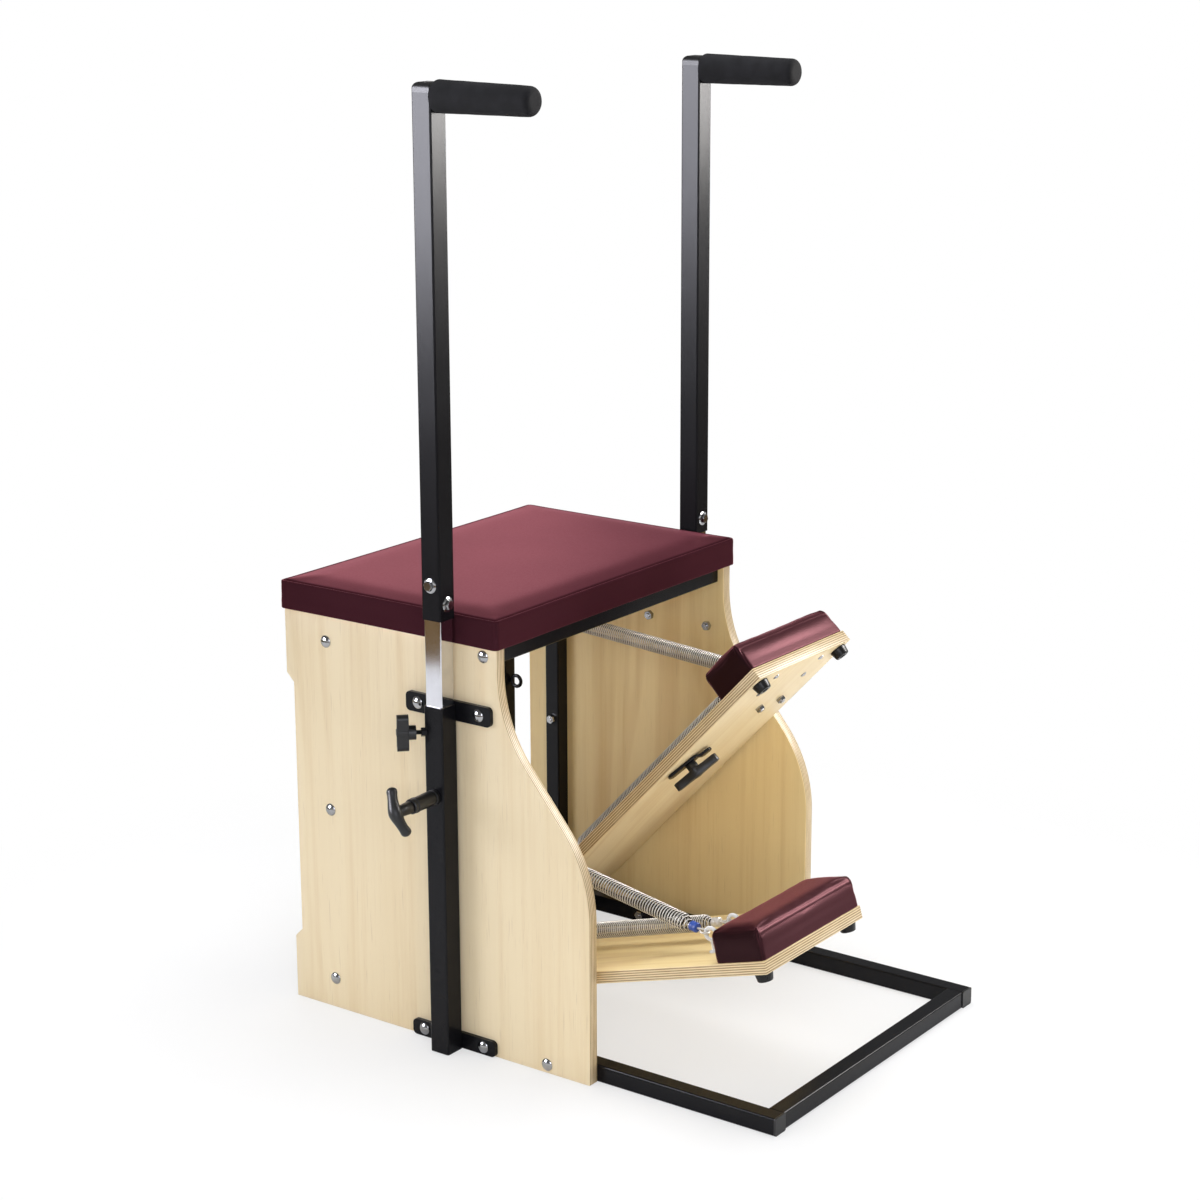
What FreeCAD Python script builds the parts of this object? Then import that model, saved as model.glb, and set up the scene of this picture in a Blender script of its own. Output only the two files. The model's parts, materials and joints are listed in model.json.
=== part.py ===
import FreeCAD, Part
import math
import os

V = FreeCAD.Vector
os.makedirs("parts", exist_ok=True)

# Pilates chair with two hinged pedals, millimetres.
# +Z is up, the pedals point to -Y, and the origin lies on the floor under the middle of the chair.

# Plywood body
ply = 18.0
inner_width = 536.0
panel_rear_y = 411.0
panel_top_z = 596.4
panel_front_top_y = 27.5
panel_front_low_y = -125.5
panel_curve_radius = 195.0
upper_curve_z = 561.0
lower_curve_z = 236.0
notch_depth = 13.0
notch_low_z = 95.0
notch_high_z = 500.0

# Seat
seat_front_y = 22.0
seat_rear_y = 415.0
seat_overhang = 7.0
seat_height = 44.6
seat_board_thickness = 12.0
seat_skirt = 3.0
seat_crown = 2.8
seat_sag = 2.0
seat_edge = 4.0
seat_spread = 45.0
seat_corner = 8.0

# Square steel tubes
bar = 25.4
bar_wall = 2.0
tube_radius = 2.5
mast_size = 31.75
mast_wall = 1.6
slide_clearance = 0.2
inner_wall = 2.0

# Base and rear frame
base_front_y = -415.0
cap_thickness = 3.0
cap_plug = 10.0
cap_clearance = 0.1
front_bar_recess = 1.5
post_front_y = 321.6
spring_post_x = 120.0
front_rail_y = 37.5

# Spring eyes
eye_ring_radius = 8.5
eye_wire_radius = 2.75
eye_stand = 12.0
eye_shank_radius = 3.0
eye_top_z = 525.0
eye_pitch = 121.0
eye_count = 5
left_eye_index = 2
right_eye_index = 0

# Pedals, in their own frame: reach runs forward from the hinge, rise goes up from it
pedal_width = 244.0
pedal_gap = 27.0
pedal_reach = 677.0
pedal_start = 8.0
board_rise = 3.0
hinge_y = 256.4
hinge_z = bar
left_angle = 16.5
right_angle = 47.05
pad_length = 79.0
pad_height = 46.0
pad_inset = 1.0
pad_crown = 4.0
pad_sag = 1.0
pad_edge = 4.0
pad_spread = 20.0
pad_corner = 5.0
foot_radius = 12.5
foot_taper = 0.85
foot_height = 13.0
foot_setback = 17.0
foot_edge = 17.0
outer_eye_x = 197.0
inner_eye_x = 141.0
pad_eye_gap = 42.0
leaf_eye_gap = 50.0
pedal_eye_rise = 25.0
pad_screw_spread = 120.0
pad_screw_rows = (18.0, 60.0)

# Pedal hinges
hinge_length = 200.0
knuckle_count = 5
knuckle_radius = 5.0
hinge_pin_radius = 3.0
hinge_fit = 0.05
knuckle_gap = 0.4
leaf_thickness = 2.0
leaf_length = 40.0
hinge_bar_gap = 0.6

# Springs
spring_radius = 12.0
spring_wire = 2.4
spring_turns = 25
hook_radius = 6.5
hook_gap = 0.5
hook_wire_radius = 1.5
hook_sweep = 315.0
contact_gap = 0.3
shank_length = 6.0
collar_radius = 7.0
collar_length = 12.0
taper_length = 14.0

# Handles
bracket_thickness = 6.0
bracket_length = 149.0
bracket_height = 28.0
bracket_corner = 7.0
bracket_bolt_spread = 106.5
bracket_z = 500.4
low_bracket_height = 23.4
handle_y = 108.8
receiver_foot = 1.0
receiver_top_z = 511.0
mast_bottom_z = 633.0
mast_top_z = 1335.0
inner_bottom_z = 250.0
inner_overlap = 127.0
mast_cap_height = 13.0
grip_drop = 5.0
grip_radius = 21.5
grip_end_radius = 19.5
grip_length = 157.0
grip_core_radius = 12.5
grip_fit = 0.1
grip_end = 10.0
grip_rounding = 9.0
mast_bolt_side_z = 682.0
mast_bolt_front_z = 655.0

# Pull pin and corner clamp
pin_z = 382.5
pin_radius = 5.0
pin_fit = 0.08
pin_nose_gap = 0.5
pin_hole_pitch = 30.0
pin_hole_side = 4
barrel_radius = 11.0
barrel_length = 52.0
pin_reach = 81.0
tee_length = 56.0
tee_radius = 3.5
tee_ball_radius = 7.0
tee_tilt = 24.0
clamp_z = 473.0
clamp_screw_radius = 3.0
clamp_nut_radius = 6.5
clamp_nut_length = 5.5
clamp_screw_bare = 7.0
clamp_hub_radius = 10.0
clamp_hub_length = 10.0
wing_thickness = 16.0
wing_length = 52.0
wing_width = 14.0

# Turning plate under the right pedal
link_x = 60.0
link_reach = 455.0
link_length = 76.0
link_width = 24.0
link_thickness = 4.0
link_turn = 30.0
link_hub_length = 10.0
link_wing_thickness = 12.0
link_head_height = 5.0

# Fasteners
bolt_radius = 4.0
bolt_fit = 0.1
dome_radius = 9.0
dome_height = 4.5
nut_radius = 7.5
nut_height = 6.5
screw_head_radius = 5.0
screw_head_height = 2.4
rear_bolt_heights = (558.0, 306.5, 45.6)
front_bolt_y = -52.7
rail_bolt_depth = 20.0

# Places that follow from the sizes above
panel_in = inner_width / 2
panel_out = panel_in + ply
seat_half = panel_out + seat_overhang
post_rear_y = post_front_y + bar
post_y = post_front_y + bar / 2
rail_z = panel_top_z - bar
bar_in = panel_in - bar
eye_y = post_front_y - eye_stand
receiver_in = panel_out + bracket_thickness
receiver_out = receiver_in + mast_size
handle_x = receiver_in + mast_size / 2
inner_size = mast_size - 2 * (mast_wall + slide_clearance)
pedal_in = pedal_gap / 2
pedal_out = pedal_in + pedal_width
pedal_mid = pedal_in + pedal_width / 2
board_top = board_rise + ply
pedal_eye_top = board_top + pedal_eye_rise
pad_start = pedal_reach - pad_length
foot_reach = pedal_reach - foot_setback
front_eye_reach = pad_start - pad_eye_gap
rear_eye_reach = leaf_length + leaf_eye_gap
grip_z = mast_top_z - grip_drop
hinge_bar_y = hinge_y + knuckle_radius + hinge_bar_gap
cap_face_y = base_front_y + cap_thickness
hook_centre = hook_radius - hook_wire_radius - hook_gap - eye_wire_radius
hook_end = hook_centre + hook_radius
collar_start = hook_end + shank_length
taper_start = collar_start + collar_length
coil_start = taper_start + taper_length

nodes = {}


def block(x0, x1, y0, y1, z0, z1):
    low = V(min(x0, x1), min(y0, y1), min(z0, z1))
    return Part.makeBox(abs(x1 - x0), abs(y1 - y0), abs(z1 - z0), low)


def rod(start, end, radius):
    return Part.makeCylinder(radius, (end - start).Length, start, end - start)


def rounded_block(x0, x1, y0, y1, z0, z1, axis, radius):
    solid = block(x0, x1, y0, y1, z0, z1)
    edges = [e for e in solid.Edges if abs(e.tangentAt(e.FirstParameter).dot(axis)) > 0.99]
    return solid.makeFillet(radius, edges)


def square_tube(x0, x1, y0, y1, z0, z1, axis, wall):
    outer = rounded_block(x0, x1, y0, y1, z0, z1, axis, tube_radius)
    gap = V(wall * (1 - axis.x), wall * (1 - axis.y), wall * (1 - axis.z))
    bore = block(x0 + gap.x, x1 - gap.x, y0 + gap.y, y1 - gap.y, z0 + gap.z, z1 - gap.z)
    return outer.cut(bore)


def mirrored(shape):
    return shape.mirror(V(0, 0, 0), V(1, 0, 0))


def group(shapes):
    return Part.makeCompound([solid for shape in shapes for solid in shape.Solids])


def fused(shapes):
    return shapes[0].multiFuse(shapes[1:]).removeSplitter()


def on_both_sides(name, shape):
    nodes["left_" + name] = shape
    nodes["right_" + name] = mirrored(shape)


def hexagon(centre, direction, radius, height):
    side = V(0, 0, 1) if abs(direction.z) < 0.9 else V(0, 1, 0)
    turn = FreeCAD.Rotation(direction, 60)
    spoke = side - direction * side.dot(direction)
    spoke.normalize()
    points = []
    for corner in range(6):
        points.append(centre + spoke * radius)
        spoke = turn.multVec(spoke)
    face = Part.Face(Part.makePolygon(points + [points[0]]))
    return face.extrude(direction * height)


def dome(centre, direction, radius, height):
    sphere_radius = (radius ** 2 + height ** 2) / (2 * height)
    ball = Part.makeSphere(sphere_radius, centre - direction * (sphere_radius - height))
    return ball.common(Part.makeCylinder(radius + 1, height + 1, centre, direction))


def section(x0, x1, y0, y1, z, sag, corner):
    """Closed outline whose sides draw in by sag between rounded corners."""
    mid_x = (x0 + x1) / 2
    mid_y = (y0 + y1) / 2
    bevel = corner * (1 - math.sqrt(0.5))
    stops = [
        (V(x0 + corner, y0, z), V(mid_x, y0 + sag, z), V(x1 - corner, y0, z), V(x1 - bevel, y0 + bevel, z)),
        (V(x1, y0 + corner, z), V(x1 - sag, mid_y, z), V(x1, y1 - corner, z), V(x1 - bevel, y1 - bevel, z)),
        (V(x1 - corner, y1, z), V(mid_x, y1 - sag, z), V(x0 + corner, y1, z), V(x0 + bevel, y1 - bevel, z)),
        (V(x0, y1 - corner, z), V(x0 + sag, mid_y, z), V(x0, y0 + corner, z), V(x0 + bevel, y0 + bevel, z)),
    ]
    edges = []
    for index, (start, middle, end, turn) in enumerate(stops):
        edges.append(Part.Arc(start, middle, end).toShape())
        edges.append(Part.Arc(end, turn, stops[(index + 1) % 4][0]).toShape())
    return Part.Wire(edges)


def cushion(x0, x1, y0, y1, z0, z1, crown, sag, edge, spread, corner):
    """Upholstered block: tucked lower edge, drawn-in sides, rounded upper edge and crowned top."""
    shoulder = z1 - crown
    rows = [
        (edge / 3, z0),
        (0.0, z0 + edge / 2),
        (0.0, shoulder - edge),
        (0.3 * edge, shoulder - 0.3 * edge),
        (edge, shoulder),
        (edge + 0.4 * spread, shoulder + 0.65 * crown),
        (edge + spread, z1),
    ]
    wires = []
    for inset, z in rows:
        wires.append(section(x0 + inset, x1 - inset, y0 + inset, y1 - inset, z, sag, corner))
    return Part.makeLoft(wires, True, True)


def side_panel():
    """Left plywood side with a notched rear edge and a front edge of two arcs and their tangent."""
    radius = panel_curve_radius
    upper = V(0, panel_front_top_y - radius, upper_curve_z)
    lower = V(0, panel_front_low_y + radius, lower_curve_z)
    across = lower - upper
    angle = math.atan2(-across.z, across.y) - math.acos(2 * radius / across.Length)

    def spoke(turn):
        return V(0, math.cos(turn), -math.sin(turn)) * radius

    outline = [
        V(0, panel_front_low_y, 0),
        V(0, panel_rear_y, 0),
        V(0, panel_rear_y, notch_low_z),
        V(0, panel_rear_y - notch_depth, notch_low_z + notch_depth),
        V(0, panel_rear_y - notch_depth, notch_high_z - notch_depth),
        V(0, panel_rear_y, notch_high_z),
        V(0, panel_rear_y, panel_top_z),
        V(0, panel_front_top_y, panel_top_z),
        upper + spoke(0),
    ]
    edges = [Part.LineSegment(a, b).toShape() for a, b in zip(outline, outline[1:])]
    edges.append(Part.Arc(upper + spoke(0), upper + spoke(angle / 2), upper + spoke(angle)).toShape())
    edges.append(Part.LineSegment(upper + spoke(angle), lower - spoke(angle)).toShape())
    edges.append(Part.Arc(lower - spoke(angle), lower - spoke(angle / 2), lower - spoke(0)).toShape())
    edges.append(Part.LineSegment(lower - spoke(0), outline[0]).toShape())
    face = Part.Face(Part.Wire(edges))
    face.translate(V(-panel_out, 0, 0))
    return face.extrude(V(ply, 0, 0))


def hole_x(x0, x1, y, z, radius):
    return rod(V(min(x0, x1) - 1, y, z), V(max(x0, x1) + 1, y, z), radius)


def bolt_x(head_x, end_x, y, z, nut):
    """Domed bolt from an outside face inwards along +X, with its nut on the far side where it has one."""
    head = dome(V(head_x, y, z), V(-1, 0, 0), dome_radius, dome_height)
    stop_x = end_x + nut_height if nut else end_x
    shank = rod(V(head_x, y, z), V(stop_x, y, z), bolt_radius)
    solids = [fused([head, shank])]
    if nut:
        solid_nut = hexagon(V(end_x, y, z), V(1, 0, 0), nut_radius, nut_height)
        solids.append(solid_nut.cut(rod(V(end_x - 1, y, z), V(stop_x + 1, y, z), bolt_radius)))
    return solids


# Places of the through bolts on the left side: y, z and where the shank ends
post_bolts = [(post_y, z, -bar_in, True) for z in rear_bolt_heights]
rail_bolts = [(front_rail_y + bar / 2, rail_z + bar / 2, -panel_in + rail_bolt_depth, False)]
base_bolts = [(front_bolt_y, bar / 2, -bar_in, True)]
bracket_bolts = []
for step in (-0.5, 0.5):
    bracket_bolts.append((handle_y + step * bracket_bolt_spread, bracket_z, -panel_in, True))
    bracket_bolts.append((handle_y + step * bracket_bolt_spread, bar / 2, -bar_in, True))


def drilled(shape, bolts):
    for y, z, end_x, nut in bolts:
        shape = shape.cut(hole_x(-receiver_in, end_x, y, z, bolt_radius + bolt_fit))
    return shape


all_bolts = post_bolts + rail_bolts + base_bolts + bracket_bolts
on_both_sides("side_panel", drilled(side_panel(), all_bolts))

# Seat: a board wrapped by the cushion, on two rails between the panels
seat_top_z = panel_top_z + seat_height
seat_board = block(
    -seat_half + seat_skirt, seat_half - seat_skirt,
    seat_front_y + seat_skirt, seat_rear_y - seat_skirt,
    panel_top_z, panel_top_z + seat_board_thickness)
seat_pad = cushion(
    -seat_half, seat_half, seat_front_y, seat_rear_y,
    panel_top_z, seat_top_z, seat_crown, seat_sag, seat_edge, seat_spread, seat_corner)
nodes["seat_board"] = seat_board
nodes["seat_cushion"] = seat_pad.cut(seat_board)


def cross_bar(half, front_y, low_z):
    return square_tube(-half, half, front_y, front_y + bar, low_z, low_z + bar, V(1, 0, 0), bar_wall)


front_rail = drilled(cross_bar(panel_in, front_rail_y, rail_z), rail_bolts)
nodes["front_seat_rail"] = mirrored(drilled(mirrored(front_rail), rail_bolts))
nodes["rear_seat_rail"] = cross_bar(panel_in, post_front_y, rail_z)

# Base frame: side bars along the panels, cross bars between them
side_bar = square_tube(-panel_in, -bar_in, cap_face_y, post_rear_y, 0, bar, V(0, 1, 0), bar_wall)
on_both_sides("base_bar", drilled(side_bar, base_bolts + bracket_bolts))
nodes["front_base_bar"] = cross_bar(bar_in, base_front_y + front_bar_recess, 0)
nodes["hinge_base_bar"] = cross_bar(bar_in, hinge_bar_y, 0)
nodes["rear_base_bar"] = cross_bar(bar_in, post_front_y, 0)


def end_cap(face_y, outward):
    plate = rounded_block(
        -panel_in, -bar_in, face_y, face_y + outward * cap_thickness, 0, bar, V(0, 1, 0), tube_radius)
    inset = bar_wall + cap_clearance
    plug = block(
        -panel_in + inset, -bar_in - inset, face_y, face_y - outward * cap_plug, inset, bar - inset)
    return fused([plate, plug])


caps = [end_cap(cap_face_y, -1), end_cap(post_rear_y, 1)]
nodes["base_end_caps"] = group(caps + [mirrored(cap) for cap in caps])

# Rear frame: side posts on the panels and spring posts with a ladder of eyes
side_post = square_tube(-panel_in, -bar_in, post_front_y, post_rear_y, bar, rail_z, V(0, 0, 1), bar_wall)
on_both_sides("side_post", drilled(side_post, post_bolts))
eye_heights = [eye_top_z - eye_pitch * index for index in range(eye_count)]


def post_eye(z):
    """Closed eye standing forward of a spring post, its hole along X."""
    ring = Part.makeTorus(eye_ring_radius, eye_wire_radius, V(-spring_post_x, eye_y, z), V(1, 0, 0))
    start = V(-spring_post_x, eye_y + eye_ring_radius, z)
    shank = rod(start, V(-spring_post_x, post_front_y + bar / 2, z), eye_shank_radius)
    return fused([ring, shank])


spring_post = square_tube(
    -spring_post_x - bar / 2, -spring_post_x + bar / 2, post_front_y, post_rear_y,
    bar, rail_z, V(0, 0, 1), bar_wall)
for z in eye_heights:
    start = V(-spring_post_x, post_front_y - 1, z)
    spring_post = spring_post.cut(rod(start, V(-spring_post_x, post_y, z), eye_shank_radius))
on_both_sides("spring_post", spring_post)
post_eyes = [post_eye(z) for z in eye_heights]
nodes["post_eyes"] = group(post_eyes + [mirrored(eye) for eye in post_eyes])

# Bolts through the panels
dome_bolts = []
for y, z, end_x, nut in post_bolts + rail_bolts + base_bolts:
    dome_bolts += bolt_x(-panel_out, end_x, y, z, nut)
nodes["panel_bolts"] = group(dome_bolts + [mirrored(solid) for solid in dome_bolts])
plate_bolts = []
for y, z, end_x, nut in bracket_bolts:
    plate_bolts += bolt_x(-receiver_in, end_x, y, z, nut)
nodes["bracket_bolts"] = group(plate_bolts + [mirrored(solid) for solid in plate_bolts])

# Handle receivers: a square tube welded to two bracket plates, with a nut on its rear outer corner
corner_axis = V(-1, 1, 0).normalize()
handle_centre = V(-handle_x, handle_y, 0)
corner_reach = mast_size / math.sqrt(2) - tube_radius * (math.sqrt(2) - 1)
inner_corner = inner_size / math.sqrt(2) - tube_radius * (math.sqrt(2) - 1)
clamp_nut_end = corner_reach + clamp_nut_length


def along_clamp(distance):
    return handle_centre + V(0, 0, clamp_z) + corner_axis * distance


def handle_box(half, z0, z1):
    return (-handle_x - half, -handle_x + half, handle_y - half, handle_y + half, z0, z1)


def bracket(z, height):
    half = bracket_length / 2
    return rounded_block(
        -receiver_in, -panel_out, handle_y - half, handle_y + half,
        z - height / 2, z + height / 2, V(1, 0, 0), bracket_corner)


receiver_tube = rounded_block(
    *handle_box(mast_size / 2, receiver_foot, receiver_top_z), V(0, 0, 1), tube_radius)
weld_nut = hexagon(along_clamp(inner_corner), corner_axis, clamp_nut_radius, clamp_nut_end - inner_corner)
plates = [bracket(bracket_z, bracket_height), bracket(bar / 2, low_bracket_height)]
receiver = fused([receiver_tube, weld_nut] + plates)
socket_half = inner_size / 2 + slide_clearance
receiver = receiver.cut(block(*handle_box(socket_half, 0, receiver_top_z + 1)))
receiver = receiver.cut(rod(along_clamp(0), along_clamp(clamp_nut_end + 1), clamp_screw_radius + bolt_fit))
receiver = receiver.cut(hole_x(-receiver_out, -handle_x, handle_y, pin_z, pin_radius + pin_fit))
on_both_sides("receiver", drilled(receiver, bracket_bolts))

# Pull pin: a barrel on the receiver and a plunger with a T handle
barrel_end = receiver_out + barrel_length
barrel = rod(V(-receiver_out, handle_y, pin_z), V(-barrel_end, handle_y, pin_z), barrel_radius)
barrel = barrel.cut(hole_x(-receiver_out, -barrel_end, handle_y, pin_z, pin_radius + pin_fit))
nodes["pin_barrels"] = group([barrel, mirrored(barrel)])


def pull_pin():
    nose_x = handle_x + inner_size / 2 + pin_nose_gap
    tee_x = receiver_out + pin_reach
    centre = V(-tee_x, handle_y, pin_z)
    tilt = math.radians(tee_tilt)
    half = V(0, math.sin(tilt), math.cos(tilt)) * (tee_length / 2 - tee_ball_radius)
    plunger = rod(V(-nose_x, handle_y, pin_z), centre, pin_radius)
    tee = rod(centre - half, centre + half, tee_radius)
    hub = Part.makeSphere(tee_ball_radius, centre)
    balls = [Part.makeSphere(tee_ball_radius, centre + end) for end in (half, half * -1)]
    return fused([plunger, tee, hub] + balls)


on_both_sides("pull_pin", pull_pin())


def wing(centre, axis, along, thickness, length, width):
    """Two-lobed grip bar that stands on a hub, its long side along a given direction."""
    across = axis.cross(along)
    half = length / 2 - width / 2
    low = centre - along * half - across * (width / 2)
    high = low + along * (2 * half)
    points = [low, high, high + across * width, low + across * width, low]
    body = Part.Face(Part.makePolygon(points)).extrude(axis * thickness)
    ends = []
    for side in (-half, half):
        ends.append(Part.makeCylinder(width / 2, thickness, centre + along * side, axis))
    return fused([body] + ends)


def clamp_knob():
    hub_start = clamp_nut_end + clamp_screw_bare
    hub_end = hub_start + clamp_hub_length
    screw = rod(along_clamp(inner_corner + contact_gap), along_clamp(hub_end), clamp_screw_radius)
    hub = rod(along_clamp(hub_start), along_clamp(hub_end), clamp_hub_radius)
    bar_grip = wing(along_clamp(hub_end), corner_axis, V(0, 0, 1), wing_thickness, wing_length, wing_width)
    return fused([screw, hub, bar_grip])


on_both_sides("clamp_knob", clamp_knob())

# Handles: a mast over an inner tube, with a plastic cap and a foam grip
inner_top_z = mast_bottom_z + inner_overlap
mast_front_y = handle_y - mast_size / 2
grip_end_y = mast_front_y - grip_length
grip_start = V(-handle_x, mast_front_y, grip_z)
core_stop = V(-handle_x, grip_end_y + grip_end, grip_z)


def mast_bolt(face, direction):
    """Hexagon bolt on the mast, its shank through the mast wall and the inner tube."""
    head = hexagon(face, direction, nut_radius, nut_height)
    shank = rod(face, face - direction * (mast_wall + slide_clearance + 2 * inner_wall), bolt_radius)
    return fused([head, shank])


bolt_faces = [
    (V(-handle_x - mast_size / 2, handle_y, mast_bolt_side_z), V(-1, 0, 0)),
    (V(-handle_x, mast_front_y, mast_bolt_front_z), V(0, -1, 0)),
]


def bolted(shape):
    for face, direction in bolt_faces:
        shape = shape.cut(rod(face + direction, face - direction * (mast_size / 2), bolt_radius + bolt_fit))
    return shape


mast_tube = rounded_block(*handle_box(mast_size / 2, mast_bottom_z, mast_top_z), V(0, 0, 1), tube_radius)
mast_tube = mast_tube.cut(block(*handle_box(socket_half, mast_bottom_z - 1, mast_top_z + 1)))
grip_core = rod(grip_start, core_stop, grip_core_radius)
on_both_sides("mast", bolted(fused([mast_tube, grip_core])))
inner_tube = square_tube(*handle_box(inner_size / 2, inner_bottom_z, inner_top_z), V(0, 0, 1), inner_wall)
for step in range(-pin_hole_side, pin_hole_side + 1):
    hole_z = pin_z + step * pin_hole_pitch
    pin_hole = hole_x(-receiver_out, -handle_x, handle_y, hole_z, pin_radius + pin_nose_gap)
    inner_tube = inner_tube.cut(pin_hole)
on_both_sides("inner_tube", bolted(inner_tube))
on_both_sides("mast_bolts", group([mast_bolt(face, direction) for face, direction in bolt_faces]))

cap_top = rounded_block(
    *handle_box(mast_size / 2, mast_top_z, mast_top_z + mast_cap_height), V(0, 0, 1), tube_radius)
cap_rim = [e for e in cap_top.Edges if e.BoundBox.ZMin > mast_top_z + mast_cap_height - 0.01]
cap_top = cap_top.makeFillet(mast_cap_height * 0.6, cap_rim)
cap_foot = block(*handle_box(socket_half - cap_clearance, mast_top_z - cap_plug, mast_top_z + 1))
cap_foot = cap_foot.cut(rod(grip_start, V(-handle_x, handle_y + mast_size, grip_z), grip_core_radius))
on_both_sides("mast_cap", fused([cap_top, cap_foot]))
grip = Part.makeCone(grip_radius, grip_end_radius, grip_length, grip_start, V(0, -1, 0))
grip_rims = [e for e in grip.Edges if e.BoundBox.YMax < grip_end_y + 0.01]
grip = grip.makeFillet(grip_rounding, grip_rims)
on_both_sides("grip", grip.cut(rod(grip_start, core_stop, grip_core_radius + grip_fit)))

# Pedals, built flat on the left side and then tilted about the hinge


def flat(x, reach, rise):
    return V(-x, hinge_y - reach, hinge_z + rise)


def flat_block(x0, x1, reach0, reach1, rise0, rise1):
    low = flat(x0, reach0, rise0)
    high = flat(x1, reach1, rise1)
    return block(low.x, high.x, low.y, high.y, low.z, high.z)


def tilted(shape, angle):
    turned = shape.copy()
    turned.rotate(V(0, hinge_y, hinge_z), V(-1, 0, 0), angle)
    return turned


def pedal_eye(x, reach):
    """Eye bolt through the board with a nut below, its hole along X."""
    ring = Part.makeTorus(eye_ring_radius, eye_wire_radius, flat(x, reach, pedal_eye_top), V(1, 0, 0))
    top = flat(x, reach, pedal_eye_top - eye_ring_radius)
    shank = rod(flat(x, reach, board_rise - nut_height), top, eye_shank_radius)
    flange = rod(flat(x, reach, board_top), flat(x, reach, board_top + screw_head_height), nut_radius)
    nut = hexagon(flat(x, reach, board_rise), V(0, 0, -1), nut_radius, nut_height)
    return [fused([ring, shank, flange]), nut.cut(shank)]


eye_places = [
    (outer_eye_x, front_eye_reach),
    (inner_eye_x, front_eye_reach),
    (inner_eye_x, rear_eye_reach),
]
pad_screw_places = []
for row in pad_screw_rows:
    for step in (-0.5, 0.5):
        pad_screw_places.append((pedal_mid + step * pad_screw_spread, pad_start + row))


def pedal_board():
    board = flat_block(pedal_in, pedal_out, pedal_start, pedal_reach, board_rise, board_top)
    for x, reach in eye_places:
        board = board.cut(rod(flat(x, reach, 0), flat(x, reach, board_top + 1), eye_shank_radius))
    return board


def pedal_pad():
    low = flat(pedal_out - pad_inset, pad_start, board_top)
    high = flat(pedal_in + pad_inset, pedal_reach, board_top + pad_height)
    return cushion(
        low.x, high.x, high.y, low.y, low.z, high.z,
        pad_crown, pad_sag, pad_edge, pad_spread, pad_corner)


def pedal_feet():
    feet = []
    for x in (pedal_in + foot_edge, pedal_out - foot_edge):
        top = flat(x, foot_reach, board_rise)
        feet.append(Part.makeCone(foot_radius, foot_radius * foot_taper, foot_height, top, V(0, 0, -1)))
    return group(feet)


def pedal_screws():
    heads = []
    for x, reach in pad_screw_places:
        heads.append(dome(flat(x, reach, board_rise), V(0, 0, -1), screw_head_radius, screw_head_height))
    return group(heads)


def hinge_half(moving):
    """Leaf with its share of the knuckles: odd ones turn with the pedal, even ones stay on the bar."""
    step = hinge_length / knuckle_count
    start_x = pedal_mid - hinge_length / 2
    end_x = start_x + hinge_length
    clear = knuckle_radius + knuckle_gap
    side_gap = knuckle_gap / 2
    if moving:
        leaf = flat_block(start_x, end_x, 0, leaf_length, board_rise - leaf_thickness, board_rise)
    else:
        leaf = flat_block(start_x, end_x, 0, hinge_y - hinge_bar_y - bar, 0, leaf_thickness)
    bore = hinge_pin_radius + (hinge_fit if moving else 0)
    own = []
    for index in range(knuckle_count):
        x0 = start_x + index * step
        x1 = x0 + step
        if (index % 2 == 1) == moving:
            own.append(rod(flat(x0 + side_gap, 0, 0), flat(x1 - side_gap, 0, 0), knuckle_radius))
        else:
            leaf = leaf.cut(flat_block(x0 - side_gap, x1 + side_gap, -clear, clear, -clear, clear))
    solid = fused([leaf] + own)
    return solid.cut(rod(flat(start_x - 1, 0, 0), flat(end_x + 1, 0, 0), bore))


hinge_pin = rod(
    flat(pedal_mid - hinge_length / 2, 0, 0), flat(pedal_mid + hinge_length / 2, 0, 0), hinge_pin_radius)
nodes["hinge_pins"] = group([hinge_pin, mirrored(hinge_pin)])
base_leaf = hinge_half(False)
nodes["hinge_base_leaves"] = group([base_leaf, mirrored(base_leaf)])

# Springs: a coil on biarcs of quarter turns between two tapered ends with hooks


def biarc(p0, t0, p1, t1):
    """Two arcs that leave p0 along t0 and reach p1 along t1."""
    span = p1 - p0
    both = t0 + t1
    a = 2 * (1 - t0.dot(t1))
    b = 2 * span.dot(both)
    c = -span.dot(span)
    d = (-b + math.sqrt(b * b - 4 * a * c)) / (2 * a)
    middle = (p0 + t0 * d + p1 - t1 * d) * 0.5
    arcs = []
    for start, end, tangent in ((p0, middle, t0), (p1, middle, t1 * -1)):
        chord = end - start
        along = V(chord).normalize()
        bulge = tangent - along * tangent.dot(along)
        lift = math.tan(math.acos(min(1.0, tangent.dot(along))) / 2) * chord.Length / 2
        crest = start + chord * 0.5 + bulge.normalize() * lift
        arcs.append((start, crest, end))
    first = Part.Arc(*arcs[0]).toShape()
    second = Part.Arc(arcs[1][2], arcs[1][1], arcs[1][0]).toShape()
    return [first, second]


def spring_frame(start, end):
    ahead = (end - start).normalize()
    side = V(1, 0, 0) - ahead * ahead.x
    side.normalize()
    up = ahead.cross(side)
    return ahead, side, up


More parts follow.
